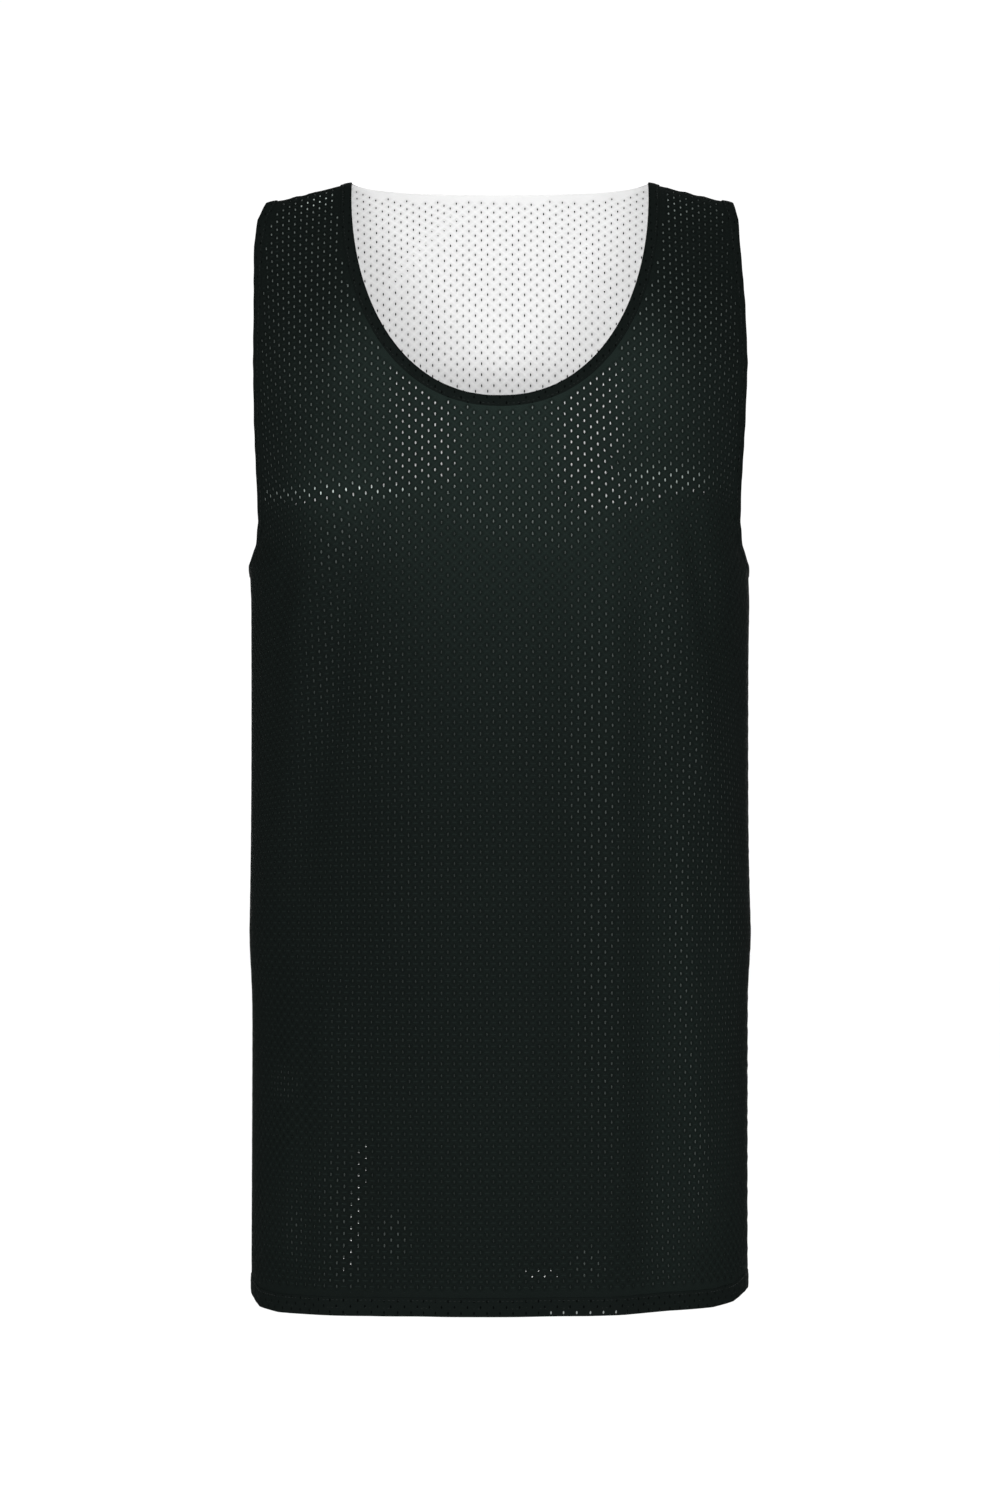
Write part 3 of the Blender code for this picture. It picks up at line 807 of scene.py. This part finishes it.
def perforated(side, cut, hole_limit, layout):
    """Flat cloth with its holes, in whole diamonds and, up to the cut, plain triangles. Gives the places, the
    faces, which places are on a rim, and the column and the row of each, with 1 in the holed cloth."""
    across, down = layout["pitch"]
    reach = math.ceil(2 * np.abs(cut[:, 0]).max() / across) + SPARE_COLUMNS
    rows = math.ceil(2 * (cut[:, 1].max() + 2 * ROW_DROOP) / down) + SPARE_COLUMNS
    i, j = np.meshgrid(np.arange(-reach, reach + 1), np.arange(-SPARE_COLUMNS, rows), indexing="ij")
    nodes = laid_out(side, layout, i, j)
    flat_nodes = nodes.reshape(-1, 2)
    clear = is_inside(flat_nodes, *edges_of(cut))
    near, _ = nearest_on(flat_nodes[clear], evenly(cut, cut, GRID)[0])
    clear[np.flatnonzero(clear)[near < OUTLINE_STEP / 3]] = False
    clear = clear.reshape(i.shape)
    holed = is_inside(flat_nodes, *edges_of(hole_limit)).reshape(i.shape) & ((i + j) % 2 == 0)
    for axis, step in ((0, -1), (0, 1), (1, -1), (1, 1)):
        holed &= np.roll(clear, step, axis)
    ci, cj = np.nonzero(holed)
    corner_cells = [(ci + 1, cj), (ci, cj + 1), (ci - 1, cj), (ci, cj - 1)]
    used = np.zeros(i.shape, bool)
    for cells in corner_cells:
        used[cells] = True
    number = np.cumsum(used).reshape(i.shape) - 1
    corners = np.stack([number[cells] for cells in corner_cells], axis=1)
    angle = np.arange(HOLE_CORNERS) * 2 * math.pi / HOLE_CORNERS
    rim = np.stack([np.cos(angle), np.sin(angle)], axis=1) * layout["hole"]
    places = np.concatenate([nodes[used], (nodes[ci, cj][:, None] + rim).reshape(-1, 2)])
    on_grid = np.stack([i, j], axis=2).astype(float)
    rim_grid = on_grid[ci, cj][:, None] + rim / layout["pitch"] * 2
    grid = np.concatenate([on_grid[used], rim_grid.reshape(-1, 2)])
    ring = used.sum() + np.arange(len(ci) * HOLE_CORNERS).reshape(-1, HOLE_CORNERS)
    faces = []
    for quarter in range(4):
        here, following = corners[:, quarter], corners[:, (quarter + 1) % 4]
        low, middle, high = (ring[:, (2 * quarter + k) % HOLE_CORNERS] for k in range(3))
        for triangle in ((here, middle, low), (here, following, middle), (following, high, middle)):
            faces.append(np.stack(triangle, axis=1))
    plain, extra = filled_up(places, corners, cut, nodes[clear & ~used & ~holed])
    on_rim = np.arange(len(places) + len(extra)) >= used.sum()
    on_rim[len(places) :] = False
    grid = np.concatenate([np.column_stack([grid, np.ones(len(grid))]), np.zeros((len(extra), 3))])
    return np.concatenate([places, extra]), np.concatenate([*faces, plain]), on_rim, grid


def filled_up(places, corners, cut, loose):
    """Plain triangles from the diamonds to the cut, and the new places that they need."""
    sides_of = np.stack([corners, np.roll(corners, -1, axis=1)], axis=2).reshape(-1, 2).tolist()
    known_sides = {tuple(edge) for edge in sides_of}
    border = [edge for edge in sides_of if (edge[1], edge[0]) not in known_sides]
    on_border = np.unique(border)
    count = len(on_border)
    renumber = {old: k for k, old in enumerate(on_border.tolist())}
    fixed = [(renumber[a], renumber[b]) for a, b in border]
    fixed += [(count + k, count + (k + 1) % len(cut)) for k in range(len(cut))]
    given = [Vector(place * MILLIMETRES) for place in np.concatenate([places[on_border], cut, loose])]
    spots, _, triangles, sources_of = delaunay_2d_cdt(given, fixed, [], 0, MERGED, True)[:4]
    spots = np.array([tuple(spot) for spot in spots]) / MILLIMETRES
    triangles = np.array([tuple(face) for face in triangles])
    middles = spots[triangles].mean(axis=1)
    wanted = is_inside(middles, *edges_of(cut)) & ~is_inside(middles, *places[np.transpose(border)])
    triangles = triangles[wanted]
    first, second = (spots[triangles[:, k]] - spots[triangles[:, 0]] for k in (1, 2))
    turned = np.cross(first, second) < 0
    triangles[turned] = triangles[turned, ::-1]
    target = []
    extra = []
    for spot, sources in zip(spots, sources_of):
        known = [source for source in sources if source < count]
        target.append(on_border[known[0]] if known else len(places) + len(extra))
        if not known:
            extra.append(spot)
    return np.array(target)[triangles], np.array(extra)


def lay_on_surface(side, places, cut, on_seam, on_rim, is_outer):
    """Points of a layer of cloth over its flat places, and how closely it touches the other layer there."""
    points, normals, drops = side.spot(places)
    line, seam_here = evenly(cut, on_seam, GRID)
    distance, index = nearest_on(places, line)
    at_seam = seam_here[index]
    seam = np.where(at_seam, np.exp(-((distance / SEAM_HALF_WIDTH) ** 2)), 0)
    run = points[:, 2] + np.abs(points[:, 0])
    pucker = np.sin(run / PUCKER_LENGTH * 2 * math.pi + PUCKER_DRIFT * np.sin(run / PUCKER_BEAT))
    pull = np.where(at_seam, np.exp(-distance / PUCKER_REACH), 0) * pucker * PUCKER_DEPTH
    edge = np.exp(-((distance / EDGE_REACH) ** 4))
    if is_outer:
        lift = LAYER_LIFT - SEAM_DEPTH * seam + pull - HOLE_DIP * on_rim
        lift = np.where(at_seam, lift, lift - UNDER_BAND * edge)
    else:
        gap = layer_gap(side, points, normals, drops)
        gap = gap + (EDGE_GAP - gap) * edge
        lift = LAYER_LIFT - gap + SEAM_DEPTH / 2 * seam + pull + HOLE_DIP * on_rim
    return points + normals * lift[:, None], touching(side, points[:, 0], drops)


# ---- pieces ----
def new_piece(name, points, faces, finish):
    mesh = bpy.data.meshes.new(name)
    mesh.from_pydata(points.tolist(), [], faces)
    mesh.shade_smooth()
    mesh.materials.append(finish)
    piece = bpy.data.objects.new(name, mesh)
    jersey.objects.link(piece)
    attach(piece, "root")
    return piece


def cloth_piece(name, points, faces, flat, chart, finish):
    """A piece with its flat cloth in metres as the UV map 'cloth' and a chart in one sheet as 'OFBake'."""
    piece = new_piece(name, points, faces.tolist(), finish)
    maps = {"cloth": flat[faces.ravel()], "OFBake": chart * SHEET_SHARE + (1 - SHEET_SHARE) / 2}
    for label, places in maps.items():
        layer = piece.data.uv_layers.new(name=label)
        layer.uv.foreach_set("vector", places.astype(np.float32).ravel())
    piece.data.uv_layers.active = layer
    layer.active_render = True
    return piece


def paint(piece, name, values):
    """A number for each point of the mesh, which its material reads."""
    layer = piece.data.attributes.new(name, "FLOAT", "POINT")
    layer.data.foreach_set("value", np.asarray(values, np.float32))


def face_out(piece):
    shape = bmesh.new()
    shape.from_mesh(piece.data)
    bmesh.ops.recalc_face_normals(shape, faces=shape.faces)
    shape.to_mesh(piece.data)
    shape.free()


def panel(side, is_outer, finish):
    name = f"{'outer' if is_outer else 'inner'}_{side.name}"
    if is_outer:
        layout = OUTER_GRID
        insets = [NECK_BAND - TUCK, ARMHOLE_BAND - TUCK, HEM_BAND - TUCK]
        limits = [NECK_BAND + HOLE_CLEAR, ARMHOLE_BAND + HOLE_CLEAR, HEM_BAND + HEM_CLEAR]
    else:
        layout = LINING_GRIDS[side.name]
        insets = [LINING_NECK_INSET[side.name], LINING_INSET, LINING_HEM_INSET]
        limits = [insets[0] + LINING_NECK_CLEAR[side.name], insets[1] + HOLE_CLEAR, insets[2] + HOLE_CLEAR]
    exact, on_seam = outline(side, *insets)
    cut, cut_on_seam = evenly(exact, on_seam, OUTLINE_STEP)
    hole_limit = pulled_in(*outline(side, *limits), SEAM_CLEAR)
    places, faces, on_rim, grid = perforated(side, cut, hole_limit, layout)
    points, close = lay_on_surface(side, places, cut, cut_on_seam, on_rim, is_outer)
    if (side.name == "back") == is_outer:
        faces = faces[:, ::-1]
    chart = (places - places.min(axis=0)) / np.ptp(places, axis=0).max()
    piece = cloth_piece(f"{name}_cloth", points, faces, places, chart[faces.ravel()], finish)
    # painted light: where this mask is high the lining's hidden side is painted lit, where it is low painted
    # in shade
    paint(piece, "close", close)
    paint(piece, "rim", on_rim)
    for label, values in zip(("column", "row", "holed"), grid.T):
        paint(piece, label, values)
    if is_outer:
        # the veil mask holds the white layer's lightening together with painted light on the chest and belly
        paint(piece, "veil_and_light", veil_and_painted_light(side, points[:, 0], NECK_POINT_HEIGHT - points[:, 2]))
    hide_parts(name)


class Edge:
    """A finished edge all round an opening. Lines at any distance from it have their points side by side."""

    def __init__(self, sides, line, start):
        self.place_line = line
        self.halves = []
        shares = np.linspace(start, 1, EDGE_POINTS)
        for side, at in zip(sides, (shares, shares[::-1])):
            along = run_of(side.read(side.point, *line(side, 0, at).T))
            even = np.linspace(0, along[-1], int(round(along[-1] / STATION)) + 1)
            self.halves.append((side, np.interp(even, along, at)))
        middle = self.line(0)[0]
        self.along = run_of(middle)
        self.length = self.along[-1] + np.linalg.norm(middle[0] - middle[-1])

    def line(self, inset):
        """Points, normals and flat places of the line that far from the edge, all round."""
        found = []
        for side, shares in self.halves:
            places = self.place_line(side, inset, shares)[:-1].T
            read = [side.read(grid, *places) for grid in (side.point, side.normal)]
            found.append((*read, side.flat_place(*places)))
        points, normals, flat = (np.concatenate(part) for part in zip(*found))
        return points, unit(normals), flat


def roll_section(width):
    """The section of a turned edge as (distance from the edge, lift), from the lip round to the inside."""
    half = (BAND_HIGH - BAND_LOW) / 2
    middle = (BAND_HIGH + BAND_LOW) / 2
    lip = [(width + half * out, middle + half * up) for out, up in LIP]
    shares = np.linspace(*OUTER_POINTS)
    outside = [(width * (1 - u), BAND_HIGH + BAND_BULGE * math.sin(math.pi * u)) for u in shares]
    turns = np.linspace(FOLD_TURN, -FOLD_TURN, FOLD_POINTS)
    fold = [(half * (1 - math.cos(turn)), middle + half * math.sin(turn)) for turn in turns]
    inside = [(width * u, BAND_LOW) for u in np.linspace(*INNER_POINTS)]
    return np.array(lip + outside + fold + inside)


def band_chart(count, across):
    """The chart of a strip: its length in short rows under each other, and its girth across a row."""
    per_row = math.ceil(count / BAND_ROWS)
    station, around = np.divmod(np.arange(count * across), across)
    row, start = np.divmod(station, per_row)
    corners = []
    for ahead, aside in ((0, 0), (0, 1), (1, 1), (1, 0)):
        girth = (around + aside + 0.5) / (across + 1)
        corners.append(np.stack([(start + ahead) / per_row, (row + girth) / BAND_ROWS], axis=1))
    return np.stack(corners, axis=1)


def turned_edge(name, edge, width, stitch_insets, finish, node, showing):
    """A folded strip of cloth round an opening, drawn down and puckered by its stitches. In the stretches
    showing, the white lining shows in the holes at the fold."""
    section = roll_section(width)
    stitch = edge.length / round(edge.length / STITCH_PITCH)
    press = STITCH_PRESS + STITCH_PUCKER * np.cos(edge.along / stitch * 2 * math.pi)
    wave = EDGE_WAVE * np.sin(edge.along / EDGE_WAVE_LENGTH + np.sin(edge.along / EDGE_WAVE_BEAT))
    rows = []
    flats = []
    for inset, lift in section:
        line, normals, flat = edge.line(inset)
        if lift > section[:, 1].max() / 2:
            near = sum(math.exp(-(((inset - row) / STITCH_VALLEY) ** 2)) for row in stitch_insets)
            lift = (lift - near * press - wave)[:, None]
        rows.append(line + normals * lift)
        flats.append(flat)
    count = len(edge.along)
    points = np.stack(rows, axis=1).reshape(-1, 3)
    number = np.arange(len(points)).reshape(count, -1)
    low, high = number[:, :-1], number[:, 1:]
    faces = np.stack([low, high, np.roll(high, -1, 0), np.roll(low, -1, 0)], axis=2).reshape(-1, 4)
    flat = np.stack(flats, axis=1).reshape(-1, 2)
    piece = cloth_piece(name, points, faces, flat, band_chart(count, len(section) - 1), finish)
    shown = np.zeros(len(points))
    by_fold = np.tile(section[:, 0] < SHOWING_REACH, count)
    for facing, low_x, high_x in showing:
        shown[by_fold & (points[:, 1] * facing > 0) & (points[:, 0] > low_x) & (points[:, 0] < high_x)] = 1
    paint(piece, "showing", shown)
    face_out(piece)
    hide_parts(node)


def stitches(name, edge, rows, finish):
    """Rows of short thread stitches laid along an edge, each with its ends sunk into the cloth."""
    count = round(edge.length / STITCH_PITCH)
    centres = (np.arange(count) + 0.5) * edge.length / count
    turns = np.arange(THREAD_SIDES) * 2 * math.pi / THREAD_SIDES
    along = np.append(edge.along, edge.length)
    points = []
    for inset in rows:
        line, normals, _ = (np.concatenate([part, part[:1]]) for part in edge.line(inset))
        sections = []
        for share in np.linspace(-0.5, 0.5, STITCH_SECTIONS):
            at = (centres + share * STITCH_LENGTH) % edge.length
            centre = along_line(at, along, line)
            ahead = unit(along_line((at + STATION / 2) % edge.length, along, line) - centre)
            up = unit(along_line(at, along, normals))
            across = np.cross(up, ahead)
            sink = (2 * share) ** 2
            centre = centre + up * (BAND_HIGH - THREAD * STITCH_SINK * sink)
            radius = THREAD / 2 * math.sqrt(1 - STITCH_TAPER * sink)
            ring = [centre + (across * math.cos(turn) + up * math.sin(turn)) * radius for turn in turns]
            sections.append(np.stack(ring, axis=1))
        points.append(np.stack(sections, axis=1))
    points = np.concatenate(points)
    number = np.arange(points.size // 3).reshape(points.shape[:3])
    low, high = number[:, :-1], number[:, 1:]
    quads = np.stack([low, np.roll(low, -1, 2), np.roll(high, -1, 2), high], axis=3).reshape(-1, 4)
    faces = quads.tolist() + number[:, 0, ::-1].tolist() + number[:, -1].tolist()
    piece = new_piece(name, points.reshape(-1, 3), faces, finish)
    face_out(piece)


# ---- finishes ----
def give(socket, given):
    """Sets a socket to a number or a colour, or links another node's output to it."""
    if isinstance(given, bpy.types.NodeSocket):
        socket.id_data.links.new(given, socket)
    else:
        socket.default_value = (*given, 1) if isinstance(given, tuple) else given


def added(tree, kind, **inputs):
    """A new node with these inputs."""
    node = tree.nodes.new(f"ShaderNode{kind}")
    for name, given in inputs.items():
        give(node.inputs[name], given)
    return node


def value(operation, *inputs):
    """The result of a Math node in the tree of its inputs."""
    tree = next(given for given in inputs if isinstance(given, bpy.types.NodeSocket)).id_data
    node = added(tree, "Math")
    node.operation = operation
    for socket, given in zip(node.inputs, inputs):
        give(socket, given)
    return node.outputs["Value"]


def blended(share, low, high):
    """A colour between two colours."""
    node = added(share.id_data, "Mix")
    node.data_type = "RGBA"
    for name, given in (("Factor_Float", share), ("A_Color", low), ("B_Color", high)):
        give(next(socket for socket in node.inputs if socket.identifier == name), given)
    return next(socket for socket in node.outputs if socket.identifier == "Result_Color")


def painted(tree, name):
    node = added(tree, "Attribute")
    node.attribute_name = name
    return node.outputs["Fac"]


def group(name, inputs, output):
    """An empty node group, its inputs and its output."""
    tree = bpy.data.node_groups.new(name, "ShaderNodeTree")
    for label, default in inputs.items():
        socket = tree.interface.new_socket(label, in_out="INPUT", socket_type="NodeSocketFloat")
        socket.default_value = default
    tree.interface.new_socket(output, in_out="OUTPUT", socket_type="NodeSocketFloat")
    given = tree.nodes.new("NodeGroupInput").outputs
    return tree, given, tree.nodes.new("NodeGroupOutput").inputs[output]


def placed_group(tree, made, **values):
    """The output of a node group put into a material."""
    node = added(tree, "Group")
    node.node_tree = made
    for name, given in values.items():
        node.inputs[name].default_value = given
    return node.outputs[0]


def cloth_axes(tree):
    """Where a place lies in the flat cloth, across it and up it."""
    chart = added(tree, "UVMap")
    chart.uv_map = "cloth"
    parts = added(tree, "SeparateXYZ", Vector=chart.outputs["UV"])
    return parts.outputs["X"], parts.outputs["Y"]


def knit_group():
    """The loops of a fine knit: two slanted legs in each wale, one loop for each course."""
    tree, given, result = group("knit loops", KNIT_LOOP, "Height")
    across, up = cloth_axes(tree)
    wale = value("DIVIDE", across, given["Wale"])
    course = value("DIVIDE", up, given["Course"])
    leg = value("ABSOLUTE", value("SUBTRACT", value("FRACT", wale), 0.5))
    crown = value("SINE", value("MULTIPLY", leg, 2 * math.pi))
    slant = value("MULTIPLY", value("ADD", course, leg), 2 * math.pi)
    loop = value("MULTIPLY_ADD", value("COSINE", slant), LOOP_SWELL, 1 - LOOP_SWELL)
    give(result, value("MULTIPLY", crown, loop))
    return tree


def mottle_group():
    """Soft unevenness of dyed cloth, large and small, around a half."""
    tree, given, result = group("uneven dye", MOTTLE_SIZES, "Mottle")
    place = added(tree, "TexCoord").outputs["Object"]
    parts = []
    for label, detail, share in MOTTLE_MIX:
        noise = added(tree, "TexNoise", Vector=place, Scale=given[label], Detail=detail)
        parts.append(value("MULTIPLY", noise.outputs["Fac"], share))
    give(result, value("ADD", *parts))
    return tree


def ovals_mask(tree, given, middles, result):
    """1 inside two ovals and 0 outside, from how far a place lies across and up of each middle."""
    away = []
    for offsets in middles:
        squares = []
        for off, half in zip(offsets, ("Half Width", "Half Height")):
            squares.append(value("POWER", value("DIVIDE", off, given[half]), 2.0))
        away.append(value("ADD", *squares))
    inside = added(tree, "MapRange", Value=value("MINIMUM", *away), **OVAL_EDGE)
    inside.interpolation_type = "SMOOTHSTEP"
    give(result, inside.outputs["Result"])


def thread_group():
    """The raised threads, an oval between four holes. Column and row have an even sum at a hole."""
    tree, given, result = group("raised threads", OUTER_LOOK["threads"], "Thread")
    even = []
    for name in ("column", "row"):
        turned = value("FRACT", value("MULTIPLY_ADD", painted(tree, name), 0.5, 0.5))
        off = value("ABSOLUTE", value("SUBTRACT", turned, 0.5))
        even.append(value("MULTIPLY", off, 2.0))
    odd = [value("SUBTRACT", 1.0, off) for off in even]
    ovals_mask(tree, given, ((even[0], odd[1]), (odd[0], even[1])), result)
    return tree


def hole_group():
    """1 at the holes of a folded edge, which the cloth beneath closes."""
    sizes = {"Across": OUTER_PITCH[0], "Down": OUTER_PITCH[1], **CLOSED_HOLE}
    tree, given, result = group("closed holes", sizes, "Hole")
    across, up = cloth_axes(tree)
    up = value("SUBTRACT", up, given["Rise"])
    middles = []
    for shift in (0.0, 0.5):
        offsets = []
        for axis, step in ((across, given["Across"]), (up, given["Down"])):
            cells = value("ADD", value("DIVIDE", axis, step), shift)
            off = value("SUBTRACT", value("FRACT", cells), 0.5)
            offsets.append(value("MULTIPLY", off, step))
        middles.append(offsets)
    ovals_mask(tree, given, middles, result)
    return tree


def cloth_finish(name, gloss):
    roughness, specular = gloss
    finish = bpy.data.materials.new(name)
    finish.use_nodes = True
    tree = finish.node_tree
    shader = tree.nodes["Principled BSDF"]
    shader.inputs["Specular IOR Level"].default_value = specular
    mottle = placed_group(tree, MOTTLE)
    uneven = value("MULTIPLY_ADD", mottle, ROUGHNESS_SPREAD, roughness - ROUGHNESS_SPREAD / 2)
    give(shader.inputs["Roughness"], uneven)
    return finish, tree, shader, mottle


def give_look(shader, colour, height, distance):
    """The colour and the bump of a material."""
    bump = added(shader.id_data, "Bump", Strength=BUMP_STRENGTH, Distance=distance, Height=height)
    give(shader.inputs["Normal"], bump.outputs["Normal"])
    give(shader.inputs["Base Color"], colour)


def knitted(tree, mottle, colour, look):
    """A holed cloth's colour with painted shade at its rims and painted highlights on its raised threads, and
    the height of its bump.
    """
    rim, rim_shade_share = look["rim"]
    # painted shade: the rims of the holes darkened
    colour = blended(value("MULTIPLY", painted(tree, "rim"), rim_shade_share), colour, rim)
    threads = placed_group(tree, THREADS, **look["threads"])
    raised = value("MULTIPLY", threads, painted(tree, "holed"))
    thread_highlight_colour, thread_highlight_share = look["raised"]
    # painted highlight: the raised threads lightened
    colour = blended(value("MULTIPLY", raised, thread_highlight_share), colour, thread_highlight_colour)
    knit = value("ADD", placed_group(tree, KNIT), value("MULTIPLY", raised, look["rise"]))
    uneven = value("MULTIPLY", mottle, MOTTLE_RELIEF)
    return colour, value("ADD", knit, uneven)


def outer_finish():
    """Dark knitted mesh, lighter where the white layer shines through it and where light is painted on it."""
    finish, tree, shader, mottle = cloth_finish("outer_mesh", DARK_GLOSS)
    # painted light: the black is lightened where the white layer shows through and where the middle is
    # painted as lit
    colour = blended(painted(tree, "veil_and_light"), blended(mottle, DEEP_BLACK, BLACK), VEILED_AND_LIT_BLACK)
    give_look(shader, *knitted(tree, mottle, colour, OUTER_LOOK), KNIT_RELIEF)
    return finish


def lining_finish():
    """White knitted mesh. Its side against the dark layer has painted shade, and painted light where the
    layers touch.
    """
    finish, tree, shader, mottle = cloth_finish("inner_mesh", WHITE_GLOSS)
    colour, height = knitted(tree, mottle, blended(mottle, WHITE, BRIGHT_WHITE), LINING_LOOK)
    # painted shade on the lining's side against the dark layer, with painted light where the layers touch
    painted_shade_and_light = blended(painted(tree, "close"), SHADED_WHITE, PAINTED_LIT_WHITE)
    face = added(tree, "NewGeometry").outputs["Backfacing"]
    give_look(shader, blended(face, colour, painted_shade_and_light), height, KNIT_RELIEF)
    return finish


def turned_finish():
    """The dark mesh folded double, its holes closed by the cloth beneath, with painted shade in them."""
    finish, tree, shader, mottle = cloth_finish("turned_edge", DARK_GLOSS)
    hole = placed_group(tree, HOLES)
    # painted shade: the closed holes are dark, and where the lining shows, it is a dim white as in shade
    pit_shade = blended(painted(tree, "showing"), PIT_SHADE_BLACK, SHADED_SHOWING_WHITE)
    share = value("MULTIPLY", hole, CLOSED_HOLE_SHADE_STRENGTH)
    colour = blended(share, blended(mottle, DEEP_BLACK, BLACK), pit_shade)
    height = value("SUBTRACT", placed_group(tree, KNIT), value("MULTIPLY", hole, CLOSED_HOLE_DEPTH))
    give_look(shader, colour, height, KNIT_RELIEF)
    return finish


def thread_finish():
    finish, tree, shader, mottle = cloth_finish("thread", THREAD_GLOSS)
    place = added(tree, "TexCoord").outputs["Object"]
    twist = added(tree, "TexWave", Vector=place, Scale=THREAD_TWIST)
    twist.bands_direction = "DIAGONAL"
    give_look(shader, blended(mottle, BLACK, THREAD_BLACK), twist.outputs["Fac"], THREAD_RELIEF)
    return finish


# ---- the studio ----
def put_in_scene(name, data, location):
    thing = bpy.data.objects.new(name, data)
    thing.location = location
    bpy.context.scene.collection.objects.link(thing)
    return thing


def add_floor():
    mesh = bpy.data.meshes.new("floor")
    shape = bmesh.new()
    bmesh.ops.create_circle(shape, cap_ends=True, segments=FLOOR_SEGMENTS, radius=FLOOR_RADIUS)
    shape.to_mesh(mesh)
    shape.free()
    finish = bpy.data.materials.new("pale_floor")
    finish.use_nodes = True
    shader = finish.node_tree.nodes["Principled BSDF"]
    shader.inputs["Base Color"].default_value = FLOOR_COLOUR
    shader.inputs["Roughness"].default_value = FLOOR_ROUGHNESS
    mesh.materials.append(finish)
    floor = put_in_scene("floor", mesh, (0, 0, FLOOR_HEIGHT))


def add_studio():
    scene = bpy.context.scene
    scene.world = bpy.data.worlds.new("studio")
    scene.world.use_nodes = True
    sky = scene.world.node_tree.nodes["Background"]
    sky.inputs["Color"].default_value = (1, 1, 1, 1)
    sky.inputs["Strength"].default_value = SKY
    scene.view_settings.view_transform = "Standard"
    for name, location, width, height, power in SOFTBOXES:
        lamp = bpy.data.lights.new(name, "AREA")
        lamp.shape = "RECTANGLE"
        lamp.size = width
        lamp.size_y = height
        lamp.energy = power
        softbox = put_in_scene(name, lamp, location)
        aim = Vector((0, 0, -GARMENT_LENGTH / 2)) - softbox.location
        softbox.rotation_euler = aim.to_track_quat("-Z", "Y").to_euler()
    add_floor()


def add_camera():
    lens = bpy.data.cameras.new("camera")
    lens.sensor_width = SENSOR
    lens.lens = SENSOR * CAMERA_DISTANCE / VIEW_HEIGHT
    lens.clip_end = 4 * FLOOR_RADIUS
    camera = put_in_scene("camera", lens, (0, -CAMERA_DISTANCE, CAMERA_HEIGHT))
    camera.rotation_euler = (math.pi / 2, 0, 0)
    bpy.context.scene.camera = camera


jersey = bpy.data.collections.new("basketball_jersey_cloth")
bpy.context.scene.collection.children.link(jersey)
KNIT = knit_group()
MOTTLE = mottle_group()
THREADS = thread_group()
HOLES = hole_group()
outer_mesh = outer_finish()
inner_mesh = lining_finish()
edge_finish = turned_finish()
thread = thread_finish()

front = Side("front")
back = Side("back")
for side in (front, back):
    panel(side, True, outer_mesh)
    panel(side, False, inner_mesh)
edges = [
    # name, node, line and its first share, width, rows of stitches
    ("neck", "neck_band", rolled_neck_line, -1, NECK_BAND, NECK_STITCHES),
    ("armhole_left", "armhole_band_left", partial(armhole_line, -1), 0, ARMHOLE_BAND, ARMHOLE_STITCHES),
    ("armhole_right", "armhole_band_right", partial(armhole_line, 1), 0, ARMHOLE_BAND, ARMHOLE_STITCHES),
    ("hem", "hem_band", hem_line, -1, HEM_BAND, HEM_STITCHES),
]
for name, node, line, start, width, rows in edges:
    edge = Edge((front, back), line, start)
    showing = HEM_SHOWING if name == "hem" else []
    turned_edge(f"{name}_turned_edge", edge, width, rows, edge_finish, node, showing)
    stitches(f"{name}_stitches", edge, rows, thread)

add_studio()
add_camera()
